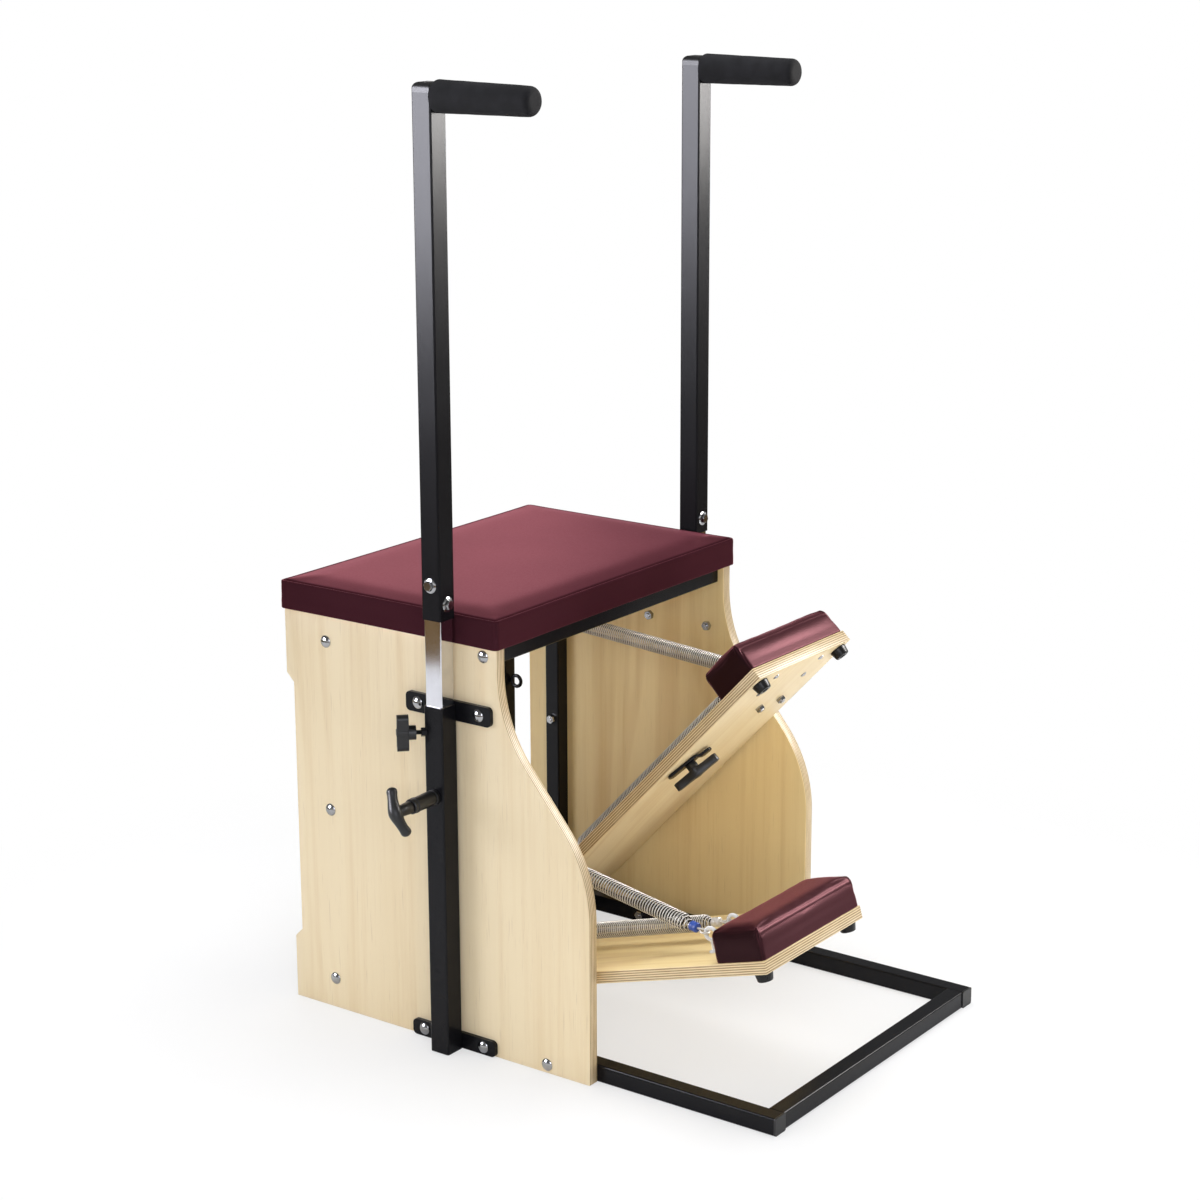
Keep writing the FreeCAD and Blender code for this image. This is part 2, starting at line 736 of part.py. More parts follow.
def coil(name, start, end):
    """One unbroken tube round the line from start to end, with straight ends."""
    ahead, side, up = spring_frame(start, end)
    length = (end - start).Length
    wire_radius = spring_wire / 2
    radius = spring_radius - wire_radius
    seat = wire_radius + contact_gap
    rise_angle = math.atan2(length - 2 * (coil_start + seat), 2 * math.pi * radius * spring_turns)
    first = coil_start + seat + spring_wire * math.sin(rise_angle)
    rise = (length - 2 * first) / spring_turns

    def point(turn):
        angle = 2 * math.pi * turn
        spoke = (side * math.cos(angle) + up * math.sin(angle)) * radius
        return start + ahead * (first + rise * turn) + spoke

    def tangent(turn):
        angle = 2 * math.pi * turn
        sweep = (up * math.cos(angle) - side * math.sin(angle)) * (2 * math.pi * radius)
        return (ahead * rise + sweep).normalize()

    lead_in = point(0) - tangent(0) * spring_wire
    lead_out = point(spring_turns) + tangent(spring_turns) * spring_wire
    edges = [Part.LineSegment(lead_in, point(0)).toShape()]
    for quarter in range(4 * spring_turns):
        t0 = quarter / 4
        t1 = (quarter + 1) / 4
        edges += biarc(point(t0), tangent(t0), point(t1), tangent(t1))
    edges.append(Part.LineSegment(point(spring_turns), lead_out).toShape())
    path = Part.Wire(edges)
    shell = Part.BRepOffsetAPI.MakePipeShell(path)
    shell.add(Part.Wire(Part.Circle(lead_in, tangent(0), wire_radius).toShape()))
    shell.build()
    shell.makeSolid()
    tube = shell.shape()

    steps = 24
    dots = [point(k / steps) for k in range(spring_turns * steps + 1)]
    least = min(
        (dots[i] - dots[j]).Length
        for i in range(len(dots))
        for j in range(i + steps // 2, min(i + 2 * steps, len(dots))))
    print(name, "turns", spring_turns, "least gap to itself", round(least - spring_wire, 2), "mm")
    return tube


def placed(shape, origin, ahead, side, up):
    matrix = FreeCAD.Matrix(
        ahead.x, side.x, up.x, origin.x,
        ahead.y, side.y, up.y, origin.y,
        ahead.z, side.z, up.z, origin.z,
        0, 0, 0, 1)
    moved = shape.copy()
    moved.Placement = FreeCAD.Placement(matrix)
    return moved


def spring_hook():
    """Open loop, shank and tapered seat of the coil, along +X from the middle of the wire it hangs on."""
    profile = Part.Face(Part.Wire(Part.Circle(V(hook_end, 0, 0), V(0, 1, 0), hook_wire_radius).toShape()))
    loop = profile.revolve(V(hook_centre, 0, 0), V(0, 0, 1), hook_sweep)
    shank = rod(V(hook_end - hook_wire_radius / 2, 0, 0), V(taper_start, 0, 0), hook_wire_radius)
    seat = Part.makeCone(collar_radius, spring_radius, taper_length, V(taper_start, 0, 0), V(1, 0, 0))
    return fused([loop, shank, seat])


def spring_collar():
    sleeve = rod(V(collar_start, 0, 0), V(taper_start, 0, 0), collar_radius)
    return sleeve.cut(rod(V(0, 0, 0), V(coil_start, 0, 0), hook_wire_radius))


def spring_end(start, other):
    ahead, side, up = spring_frame(start, other)
    return [placed(shape, start, ahead, side, up) for shape in (spring_hook(), spring_collar())]


def hang_point(eye, other):
    """Middle of an eye's wire where a spring that runs to another eye pulls on it."""
    pull = V(0, other.y - eye.y, other.z - eye.z).normalize()
    return eye + pull * eye_ring_radius


rear_eye = flat(inner_eye_x, rear_eye_reach, pedal_eye_top)
front_eye = flat(inner_eye_x, front_eye_reach, pedal_eye_top)
parked_rear = hang_point(rear_eye, front_eye)
parked_front = hang_point(front_eye, rear_eye)
parked_ends = spring_end(parked_rear, parked_front) + spring_end(parked_front, parked_rear)
parked_coil = coil("parked_spring", parked_rear, parked_front)

pedal_pieces = {
    "pedal_board": pedal_board(),
    "pedal_pad": pedal_pad(),
    "pedal_feet": pedal_feet(),
    "pedal_screws": pedal_screws(),
    "pedal_eyes": group([solid for x, reach in eye_places for solid in pedal_eye(x, reach)]),
    "hinge_leaf": hinge_half(True),
    "parked_spring": group([parked_coil] + parked_ends),
}

# Wing knob and turning plate under the right pedal, built on the left and mirrored with it
link_axis = V(0, 0, -1)
link_along = V(-math.sin(math.radians(link_turn)), -math.cos(math.radians(link_turn)), 0)
link_top = board_rise - contact_gap
link_hub_top = link_top - link_thickness - contact_gap
link_hub_low = link_hub_top - link_hub_length


def link_plate():
    top = flat(link_x, link_reach, link_top)
    plate = wing(top, link_axis, link_along, link_thickness, link_length, link_width)
    return plate.cut(rod(top + V(0, 0, 1), top - V(0, 0, link_thickness + 1), bolt_radius + bolt_fit))


def link_knob():
    head_base = flat(link_x, link_reach, board_top + contact_gap)
    hub_low = flat(link_x, link_reach, link_hub_low)
    stud = rod(hub_low, head_base, bolt_radius)
    head = dome(head_base, V(0, 0, 1), dome_radius, link_head_height)
    hub = rod(flat(link_x, link_reach, link_hub_top), hub_low, clamp_hub_radius)
    bar_grip = wing(hub_low, link_axis, link_along, link_wing_thickness, link_length, wing_width)
    return fused([stud, head, hub, bar_grip])


stud_end = flat(link_x, link_reach, board_top + 1)
stud_hole = rod(flat(link_x, link_reach, 0), stud_end, bolt_radius + bolt_fit)
for piece, shape in pedal_pieces.items():
    nodes["left_" + piece] = tilted(shape, left_angle)
    right_shape = mirrored(shape)
    if piece == "pedal_board":
        right_shape = right_shape.cut(mirrored(stud_hole))
    nodes["right_" + piece] = tilted(right_shape, right_angle)
nodes["link_plate"] = tilted(mirrored(link_plate()), right_angle)
nodes["link_knob"] = tilted(mirrored(link_knob()), right_angle)


# Working springs from the spring posts to the outer eyes of the pedals


def working_spring(side, sign, angle, eye_index):
    post = V(sign * spring_post_x, eye_y, eye_heights[eye_index])
    mark = Part.Vertex(flat(outer_eye_x, front_eye_reach, pedal_eye_top))
    pedal = tilted(mark, angle).Point
    pedal = V(sign * abs(pedal.x), pedal.y, pedal.z)
    start = hang_point(post, pedal)
    end = hang_point(pedal, post)
    nodes[side + "_spring_tail"] = group(spring_end(start, end))
    nodes[side + "_spring_hook"] = group(spring_end(end, start))
    nodes[side + "_spring_coil"] = coil(side + "_spring", start, end)
    print(side, "spring from", [round(c, 2) for c in post], "to", [round(c, 2) for c in pedal])


working_spring("left", -1, left_angle, left_eye_index)
working_spring("right", 1, right_angle, right_eye_index)

for name, shape in nodes.items():
    shape.exportStep("parts/" + name + ".step")
print(len(nodes), "nodes")
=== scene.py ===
import json
import math

import bmesh
import bpy
from mathutils import Matrix, Vector, noise


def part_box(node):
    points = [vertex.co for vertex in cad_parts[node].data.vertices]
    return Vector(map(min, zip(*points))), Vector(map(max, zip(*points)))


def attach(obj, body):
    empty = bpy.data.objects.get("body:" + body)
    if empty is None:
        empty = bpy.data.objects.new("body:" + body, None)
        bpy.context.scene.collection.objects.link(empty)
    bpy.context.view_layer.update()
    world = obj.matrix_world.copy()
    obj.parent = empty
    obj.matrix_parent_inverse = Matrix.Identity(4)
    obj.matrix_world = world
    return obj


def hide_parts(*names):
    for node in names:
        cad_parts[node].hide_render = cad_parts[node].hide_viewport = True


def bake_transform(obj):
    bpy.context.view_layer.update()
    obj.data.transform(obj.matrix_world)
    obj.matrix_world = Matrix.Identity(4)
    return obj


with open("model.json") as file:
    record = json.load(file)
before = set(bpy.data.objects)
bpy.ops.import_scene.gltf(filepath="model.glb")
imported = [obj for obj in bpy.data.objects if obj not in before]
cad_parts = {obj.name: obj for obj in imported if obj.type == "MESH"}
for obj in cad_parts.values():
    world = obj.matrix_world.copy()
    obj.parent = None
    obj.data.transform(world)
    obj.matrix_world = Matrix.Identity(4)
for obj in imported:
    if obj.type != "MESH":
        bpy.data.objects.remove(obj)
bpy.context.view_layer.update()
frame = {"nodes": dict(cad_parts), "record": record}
cadNodes = frame["nodes"]
scene = bpy.context.scene
scene.view_settings.view_transform = "Standard"
sides = (("left", -1), ("right", 1))
mm = 0.001


def metres(sizes):
    return {key: size * mm for key, size in sizes.items()}


# camera, fitted to the photograph
cameraView = {
    "place": (-3.00757, -2.12617, 1.60282), "heading": 36.044, "down": 15.114, "roll": 0.18, "lens": 80.51,
    "sensor": 36, "farthest": 200,
}


def addCamera(view):
    heading, down, roll = (math.radians(view[key]) for key in ("heading", "down", "roll"))
    ahead = Vector((math.cos(heading) * math.cos(down), math.sin(heading) * math.cos(down), -math.sin(down)))
    level = Vector((math.sin(heading), -math.cos(heading), 0))
    below = ahead.cross(level)
    right = level * math.cos(roll) + below * math.sin(roll)
    up = level * math.sin(roll) - below * math.cos(roll)
    data = bpy.data.cameras.new("photoCamera")
    data.lens = view["lens"]
    data.sensor_width = view["sensor"]
    data.clip_end = view["farthest"]
    camera = bpy.data.objects.new("photoCamera", data)
    turn = Matrix((right, up, -ahead)).transposed().to_4x4()
    camera.matrix_world = Matrix.Translation(view["place"]) @ turn
    scene.collection.objects.link(camera)
    scene.camera = camera


addCamera(cameraView)
print("camera set")


# shader helpers
rangeSockets = {"fromLow": "From Min", "fromHigh": "From Max", "low": "To Min", "high": "To Max"}


def addNode(tree, kind, inputs=None, **settings):
    node = tree.nodes.new(kind)
    for key, value in settings.items():
        setattr(node, key, value)
    for key, value in (inputs or {}).items():
        if isinstance(value, bpy.types.NodeSocket):
            tree.links.new(value, node.inputs[key])
        else:
            node.inputs[key].default_value = value
    return node


def newMaterial(name, **sockets):
    material = bpy.data.materials.new(name)
    material.use_nodes = True
    tree = material.node_tree
    shader = tree.nodes["Principled BSDF"]
    for key, value in sockets.items():
        shader.inputs[key.replace("_", " ")].default_value = value
    return material, tree, shader


def colour(r, g, b):
    return (r, g, b, 1.0)


def math2(tree, operation, a, b=0.5, clamp=False):
    node = addNode(tree, "ShaderNodeMath", {0: a, 1: b}, operation=operation, use_clamp=clamp)
    return node.outputs[0]


def scaled(tree, vector, factors):
    return addNode(tree, "ShaderNodeVectorMath", {0: vector, 1: factors}, operation="MULTIPLY").outputs[0]


def ramp(tree, value, low, high):
    node = addNode(tree, "ShaderNodeMapRange", {"Value": value, "From Min": low, "From Max": high},
                   interpolation_type="SMOOTHSTEP")
    return node.outputs["Result"]


def ranged(tree, value, **limits):
    sockets = {key: limits[name] for name, key in rangeSockets.items() if name in limits}
    return addNode(tree, "ShaderNodeMapRange", {"Value": value, **sockets}).outputs["Result"]


def mixColour(tree, factor, a, b, blend="MIX"):
    node = addNode(tree, "ShaderNodeMix", {0: factor, 6: a, 7: b}, data_type="RGBA", blend_type=blend)
    return node.outputs[2]


def mixLevel(tree, factor, a, b):
    return addNode(tree, "ShaderNodeMix", {0: factor, 2: a, 3: b}).outputs[0]


def attributeOf(tree, name, output="Fac"):
    return addNode(tree, "ShaderNodeAttribute", attribute_name=name).outputs[output]


def shown(tree, value, low, high, part):
    return math2(tree, "MULTIPLY", ramp(tree, value, low, high), part)


def noiseOf(tree, vector, scale=1.0, detail=4.0, roughness=0.5, distortion=0.0):
    node = addNode(tree, "ShaderNodeTexNoise", {"Vector": vector, "Scale": scale, "Detail": detail,
                                                "Roughness": roughness, "Distortion": distortion})
    return node.outputs["Fac"]


def bumpOn(tree, shader, height, strength, distance):
    bump = addNode(tree, "ShaderNodeBump", {"Height": height, "Strength": strength, "Distance": distance})
    tree.links.new(bump.outputs["Normal"], shader.inputs["Normal"])


def objectPlace(tree):
    return addNode(tree, "ShaderNodeTexCoord").outputs["Object"]


def paintOn(tree, shader, base, grain, roughLow, roughHigh):
    tree.links.new(base, shader.inputs["Base Color"])
    tree.links.new(ranged(tree, grain, low=roughLow, high=roughHigh), shader.inputs["Roughness"])


def mirrorRay(tree, ray):
    return math2(tree, "MAXIMUM", ray["Is Glossy Ray"], ray["Is Transmission Ray"])


# floor and light
studio = {
    "floor": (0.93, 0.93, 0.93), "floorReach": 60, "floorLevel": -0.0004,
    # beyond the paper the floor bounces the colour of a room
    "room": (0.17, 0.105, 0.045), "paper": (2.20, 2.30),
    # the seen floor turns to plain white, with its shadows lifted
    "fade": (0.5, 1.25), "lift": 0.60, "mirrorFade": (4.5, 9.0),
    # reflections show the white background up to the height of a studio cove
    "cove": (0.04, 0.15), "ceiling": 0.22, "worldLight": 0.40,
    "lights": {  # place, aim, width, height, radiance, tint, seen by matt surfaces, seen in gloss
        "overhead": ((0.35, 0.1, 2.9), (0.05, -0.1, 0.5), 2.0, 1.8, 5.5, (1, 1, 1), True, False),
        "leftFront": ((-2.6, -2.2, 1.5), (0.0, 0.0, 0.4), 1.8, 1.6, 4.3, (0.95, 0.98, 1.10), True, True),
        "backLeft": ((-2.30, 1.75, 1.20), (-0.1, 0.1, 0.6), 1.2, 1.1, 3.8, (0.95, 0.98, 1.10), True, False),
        "frontLow": ((0.55, -0.95, 0.12), (0.2, -0.2, 0.5), 0.6, 0.3, 6.0, (1, 1, 1), True, False),
        "leftCard": ((-2.30, 1.75, 1.28), (-0.1, 0.1, 1.1), 1.2, 1.1, 29.0, (0.90, 0.90, 1.0), False, True),
        "seatCard": ((1.55, 1.75, 1.32), (-0.1, 0.2, 0.64), 0.9, 0.45, 5.5, (1.0, 0.95, 0.95), False, True),
        "rightCard": ((1.45, -1.20, 1.44), (0.0, 0.1, 1.1), 1.0, 0.80, 30.0, (1.0, 0.97, 0.95), False, True),
    },
}


def addWorld(spec):
    world = bpy.data.worlds.new("studioWorld")
    world.use_nodes = True
    tree = world.node_tree
    ray = addNode(tree, "ShaderNodeLightPath").outputs
    around = addNode(tree, "ShaderNodeTexCoord").outputs["Generated"]
    rise = addNode(tree, "ShaderNodeSeparateXYZ", {0: around}).outputs["Z"]
    low, high = spec["cove"]
    cove = ranged(tree, rise, fromLow=low, fromHigh=high, low=1.0, high=spec["ceiling"])
    level = mixLevel(tree, mirrorRay(tree, ray), spec["worldLight"], cove)
    level = mixLevel(tree, ray["Is Camera Ray"], level, 1.0)
    backdrop = tree.nodes["Background"]
    backdrop.inputs["Color"].default_value = colour(1, 1, 1)
    tree.links.new(level, backdrop.inputs["Strength"])
    scene.world = world


def addFloor(spec):
    mesh = bpy.data.meshes.new("studioFloor")
    reach, level = spec["floorReach"], spec["floorLevel"]
    corners = [(x * reach, y * reach, level) for x, y in ((-1, -1), (1, -1), (1, 1), (-1, 1))]
    mesh.from_pydata(corners, [], [(0, 1, 2, 3)])
    floor = bpy.data.objects.new("studioFloor", mesh)
    scene.collection.objects.link(floor)
    material = bpy.data.materials.new("paleFloor")
    material.use_nodes = True
    tree = material.node_tree
    tree.nodes.remove(tree.nodes["Principled BSDF"])
    away = addNode(tree, "ShaderNodeVectorMath", {0: objectPlace(tree)}, operation="LENGTH").outputs["Value"]
    ray = addNode(tree, "ShaderNodeLightPath").outputs
    seenWhite = math2(tree, "MAXIMUM", ramp(tree, away, *spec["fade"]), spec["lift"])
    white = math2(tree, "MULTIPLY", ray["Is Camera Ray"], seenWhite)
    inMirror = math2(tree, "MULTIPLY", mirrorRay(tree, ray), ramp(tree, away, *spec["mirrorFade"]))
    white = math2(tree, "ADD", white, inMirror, clamp=True)
    paint = mixColour(tree, ramp(tree, away, *spec["paper"]), colour(*spec["floor"]), colour(*spec["room"]))
    paper = addNode(tree, "ShaderNodeBsdfDiffuse", {"Color": paint})
    glow = addNode(tree, "ShaderNodeEmission", {"Color": colour(1, 1, 1), "Strength": 1.0})
    blend = addNode(tree, "ShaderNodeMixShader", {0: white, 1: paper.outputs[0], 2: glow.outputs[0]})
    tree.links.new(blend.outputs[0], tree.nodes["Material Output"].inputs["Surface"])
    mesh.materials.append(material)


def addLamps(spec):
    for name, (place, aim, width, height, radiance, tint, onMatt, inGloss) in spec["lights"].items():
        data = bpy.data.lights.new(name, "AREA")
        data.shape = "RECTANGLE"
        data.size = width
        data.size_y = height
        data.energy = radiance * math.pi * width * height
        data.color = tint
        lamp = bpy.data.objects.new(name, data)
        lamp.visible_camera = False
        lamp.visible_diffuse = onMatt
        lamp.visible_glossy = inGloss
        turn = (Vector(aim) - Vector(place)).to_track_quat("-Z", "Y").to_matrix().to_4x4()
        lamp.matrix_world = Matrix.Translation(place) @ turn
        scene.collection.objects.link(lamp)


addWorld(studio)
addFloor(studio)
addLamps(studio)
print("floor and light set")

# finishes
birch = {
    "plies": 11, "thickness": 0.018, "skin": (0.0006, 0.0012), "specular": 0.4,
    "face": colour(0.87, 0.725, 0.475), "streak": colour(0.71, 0.52, 0.27), "fleck": colour(0.42, 0.27, 0.13),
    "longPly": colour(0.84, 0.70, 0.46), "crossPly": colour(0.38, 0.25, 0.115),
    "glue": colour(0.20, 0.12, 0.06),
    # painted shade: where the wood attribute says so, faces take a darker, warmer tone that stands in for
    # shade and warm bounce light inside the chair
    "paintedShadeFace": colour(0.84, 0.655, 0.325), "paintedShadeStreak": colour(0.66, 0.44, 0.18),
    "paintedShadeEdge": colour(0.96, 0.91, 0.80),
    # scale of each noise across the grain, along it and through the board
    "slow": (4.2, 0.6, 3.0), "zones": (7.5, 0.9, 2.0), "streaks": (62.0, 1.5, 10.0),
    "pores": (640.0, 18.0, 90.0), "shade": (2.6, 1.3, 2.0), "patches": (38.0, 38.0, 260.0),
    "rings": 64.0, "ringFrom": (-0.1, 1.0),
    # the range of a noise that shows, and how strongly
    "ringShow": (0.35, 0.70, 0.34), "streakShow": (0.42, 0.78, 0.40), "zoneShow": (0.40, 0.75, 0.26),
    "poreShow": (0.63, 0.75, 0.26), "paleShow": (0.35, 0.75, 0.30), "glueShow": (0.42, 0.49, 0.60),
    "knots": (7.0, 3.6, 1.0), "knotShift": (0.37, 0.11, 0.0), "knotSize": (0.012, 0.040),
    "knotChance": (0.74, 0.80), "knotDepth": 0.85, "rough": (0.34, 0.50), "bump": (0.06, 0.0004),
}


def makeBirch(spec):
    material, tree, shader = newMaterial("lacqueredBirch", Specular_IOR_Level=spec["specular"])
    grain = attributeOf(tree, "woodAxis", "Vector")
    paintedShade = attributeOf(tree, "woodPaintedShade")
    depth = addNode(tree, "ShaderNodeSeparateXYZ", {0: grain}).outputs["Z"]

    def field(name, **settings):
        return noiseOf(tree, scaled(tree, grain, spec[name]), **settings)

    # broad figure of a peeled veneer: level lines of a slow field, in places only
    slow = field("slow", detail=2.0, distortion=0.6)
    rings = math2(tree, "SINE", math2(tree, "MULTIPLY", slow, spec["rings"]), 0.0)
    streaks = field("streaks", detail=6.0, roughness=0.65)
    pores = field("pores", detail=2.0)
    ringZones = shown(tree, field("shade", detail=1.0), *spec["ringShow"])
    figure = math2(tree, "MULTIPLY", ramp(tree, rings, *spec["ringFrom"]), ringZones)
    figure = math2(tree, "ADD", figure, shown(tree, streaks, *spec["streakShow"]))
    zones = shown(tree, field("zones", detail=3.0, roughness=0.6), *spec["zoneShow"])
    figure = math2(tree, "ADD", figure, zones, clamp=True)
    # painted shade: a darker, warmer ground and streaks where the wood lies in shade
    ground = mixColour(tree, paintedShade, spec["face"], spec["paintedShadeFace"])
    face = mixColour(tree, figure, ground, mixColour(tree, paintedShade, spec["streak"], spec["paintedShadeStreak"]))
    face = mixColour(tree, shown(tree, pores, *spec["poreShow"]), face, spec["fleck"])
    # pin knots, few and small, drawn out along the grain
    knotPlace = addNode(tree, "ShaderNodeVectorMath",
                        {0: scaled(tree, grain, spec["knots"]), 1: spec["knotShift"]}, operation="ADD")
    knots = addNode(tree, "ShaderNodeTexVoronoi",
                    {"Vector": knotPlace.outputs[0], "Scale": 1.0, "Randomness": 1.0})
    spot = math2(tree, "SUBTRACT", 1.0, ramp(tree, knots.outputs["Distance"], *spec["knotSize"]))
    chance = addNode(tree, "ShaderNodeSeparateColor", {0: knots.outputs["Color"]}).outputs[0]
    spot = math2(tree, "MULTIPLY", spot, ramp(tree, chance, *spec["knotChance"]))
    face = mixColour(tree, math2(tree, "MULTIPLY", spot, spec["knotDepth"]), face, spec["fleck"])
    # edges: plies of alternating grain with dark glue lines
    place = math2(tree, "MULTIPLY", depth, spec["plies"] / spec["thickness"])
    within = math2(tree, "FRACT", place, 0.0)
    parity = math2(tree, "GREATER_THAN", math2(tree, "PINGPONG", math2(tree, "FLOOR", place, 0.0), 1.0), 0.5)
    paler = shown(tree, field("patches", detail=4.0), *spec["paleShow"])
    cross = mixColour(tree, paler, spec["crossPly"], spec["longPly"])
    plies = mixColour(tree, parity, spec["longPly"], cross)
    fromLine = math2(tree, "ABSOLUTE", math2(tree, "SUBTRACT", within, 0.5), 0.0)
    plies = mixColour(tree, shown(tree, fromLine, *spec["glueShow"]), plies, spec["glue"])
    # painted shade: ply edges inside the chair are darker and warmer too
    plies = mixColour(tree, paintedShade, plies, spec["paintedShadeEdge"], "MULTIPLY")
    least, most = spec["skin"]
    nearFront = ramp(tree, depth, least, most)
    nearBack = ramp(tree, depth, spec["thickness"] - most, spec["thickness"] - least)
    onEdge = math2(tree, "MULTIPLY", nearFront, math2(tree, "SUBTRACT", 1.0, nearBack))
    paintOn(tree, shader, mixColour(tree, onEdge, face, plies), streaks, *spec["rough"])
    bumpOn(tree, shader, pores, *spec["bump"])
    return material


# half of the vinyl reflects like a red metal, so that its shine stays red at a low angle
vinyl = {
    "sockets": {"Metallic": 0.5, "Specular_Tint": colour(1.0, 0.52, 0.56), "Sheen_Roughness": 0.36,
                "Sheen_Tint": colour(1.0, 0.27, 0.34)},
    "pebbles": 900.0, "pores": 340.0, "clouds": 7.0, "cloudShow": (0.3, 0.7),
    # painted shade: a darker colour for the valleys of the pebble grain, and how much of it shows
    "valleyShade": colour(0.046, 0.0090, 0.0135), "valleyShadeShow": (0.35, 0.75, 0.35), "rough": (0.36, 0.50),
    "bump": (0.12, 0.0004),
}


def makeVinyl(name, sheen, specular, dark, light, paintedEndShadeColour=None):
    material, tree, shader = newMaterial(name, Sheen_Weight=sheen, Specular_IOR_Level=specular,
                                         **vinyl["sockets"])
    place = objectPlace(tree)
    pebble = addNode(tree, "ShaderNodeTexVoronoi", {"Vector": place, "Scale": vinyl["pebbles"]},
                     feature="SMOOTH_F1").outputs["Distance"]
    pores = noiseOf(tree, place, scale=vinyl["pores"], detail=3.0)
    cloud = noiseOf(tree, place, scale=vinyl["clouds"], detail=2.0)
    hide = mixColour(tree, ramp(tree, cloud, *vinyl["cloudShow"]), dark, light)
    # painted shade: the colour darkens in the valleys of the pebble grain
    hide = mixColour(tree, shown(tree, pebble, *vinyl["valleyShadeShow"]), hide, vinyl["valleyShade"])
    # painted shade: the pads' end faces take a darker colour
    if paintedEndShadeColour:
        hide = mixColour(tree, attributeOf(tree, "paintedEndShade"), hide, paintedEndShadeColour)
    paintOn(tree, shader, hide, pores, *vinyl["rough"])
    height = math2(tree, "SUBTRACT", math2(tree, "MULTIPLY", pores, 0.5), pebble)
    bumpOn(tree, shader, height, *vinyl["bump"])
    return material


# clouds as noise scale and detail, and the height of the grain; a coil's inside takes painted shade
metal = {"cloud": (45.0, 3.0), "height": 0.0002}
matt = {"cloud": (35.0, 3.0), "height": 0.0004}
surface = {"grainDetail": 4.0, "cloudShow": (0.3, 0.7), "paintedHollowShadeShow": (0.20, 0.52)}


def makeFinish(name, kind, dark, light, rough, grainScale, bump, paintedCoilShade=None, **sockets):
    material, tree, shader = newMaterial(name, **sockets)
    place = objectPlace(tree)
    grain = noiseOf(tree, place, grainScale, surface["grainDetail"])
    cloud = noiseOf(tree, place, *kind["cloud"])
    tone = mixColour(tree, ramp(tree, cloud, *surface["cloudShow"]), dark, light)
    # painted shade: wire that faces into the coil is darkened towards the given colour
    if paintedCoilShade:
        paintedHollowShade = ramp(tree, attributeOf(tree, "paintedHollowShade"), *surface["paintedHollowShadeShow"])
        tone = mixColour(tree, paintedHollowShade, tone, paintedCoilShade)
    paintOn(tree, shader, tone, grain, *rough)
    bumpOn(tree, shader, grain, bump, kind["height"])
    return material


coat = {"specular": 0.16, "peel": (620.0, 2.0), "dust": (11.0, 3.0), "dustShow": (0.3, 0.8),
        "rough": (0.24, 0.28), "bump": (0.14, 0.0003),
        "dark": colour(0.0056, 0.0056, 0.0069), "light": colour(0.0070, 0.0069, 0.0083)}


def makeBlackCoat(spec):
    material, tree, shader = newMaterial("satinBlackCoat", Specular_IOR_Level=spec["specular"])
    place = objectPlace(tree)
    peel = noiseOf(tree, place, *spec["peel"])
    dust = noiseOf(tree, place, *spec["dust"])
    paint = mixColour(tree, ramp(tree, dust, *spec["dustShow"]), spec["dark"], spec["light"])
    paintOn(tree, shader, paint, dust, *spec["rough"])
    bumpOn(tree, shader, peel, *spec["bump"])
    return material


finishes = {
    "birch_ply": makeBirch(birch),
    "vinyl": makeVinyl("burgundyVinyl", 0.46, 0.015,
                       colour(0.048, 0.0135, 0.0195), colour(0.057, 0.0160, 0.0230)),
    "black_coat": makeBlackCoat(coat),
    "chrome": makeFinish("brightChrome", metal, colour(0.66, 0.66, 0.68), colour(0.74, 0.74, 0.76),
                         (0.05, 0.10), 300.0, 0.01, Metallic=1.0),
    "zinc": makeFinish("brightZinc", metal, colour(0.30, 0.30, 0.30), colour(0.44, 0.44, 0.45),
                       (0.08, 0.16), 500.0, 0.03, Metallic=1.0),
    # the spring wire's last colour is painted shade for its inside turns
    "spring_steel": makeFinish("springWire", metal, colour(0.60, 0.57, 0.52), colour(0.74, 0.71, 0.66),
                               (0.34, 0.44), 700.0, 0.03, colour(0.012, 0.010, 0.008), Metallic=0.30),
    "black_plastic": makeFinish("mouldedPlastic", matt, colour(0.0055, 0.0053, 0.0052),
                                colour(0.0090, 0.0087, 0.0085), (0.34, 0.48), 800.0, 0.08),
    "foam": makeFinish("gripFoam", matt, colour(0.009, 0.009, 0.010), colour(0.014, 0.014, 0.016),
                       (0.78, 0.95), 1500.0, 0.35, Specular_IOR_Level=0.2),
    "rubber": makeFinish("footRubber", matt, colour(0.006, 0.006, 0.006), colour(0.011, 0.011, 0.011),
                         (0.22, 0.36), 600.0, 0.06, Specular_IOR_Level=0.25),
}
# painted shade: the pads' vinyl is a darker copy of the seat's vinyl, its colour lowered for the shade the
# pads sit in, and its end faces darker still
shadedPadVinyl = makeVinyl("burgundyVinylShadedCopy", 0.46, 0.30,
                     colour(0.036, 0.0105, 0.0135), colour(0.043, 0.0125, 0.0160),
                     paintedEndShadeColour=colour(0.015, 0.0048, 0.0058))
markerBlue = makeFinish("markerBlue", matt, colour(0.014, 0.055, 0.30), colour(0.02, 0.075, 0.38),
                        (0.35, 0.5), 700.0, 0.05)

slotOf = {part["node"]: part["material_slot"] for part in frame["record"]["subparts"]}
for name, node in cadNodes.items():
    node.data.materials.clear()
    node.data.materials.append(finishes[slotOf[name]])
print("finishes made:", len(finishes))


# mesh helpers
def newPiece(name, mesh, body, node, material=None, smooth=35):
    slotName = slotOf[node]
    mesh.name = name
    mesh.shade_smooth()
    mesh.set_sharp_from_angle(angle=math.radians(smooth))
    if len(mesh.materials) == 0:
        mesh.materials.append(material or finishes[slotName])
    piece = bpy.data.objects.new(name, mesh)
    scene.collection.objects.link(piece)
    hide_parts(node)
    if body:
        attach(piece, body)
    return piece


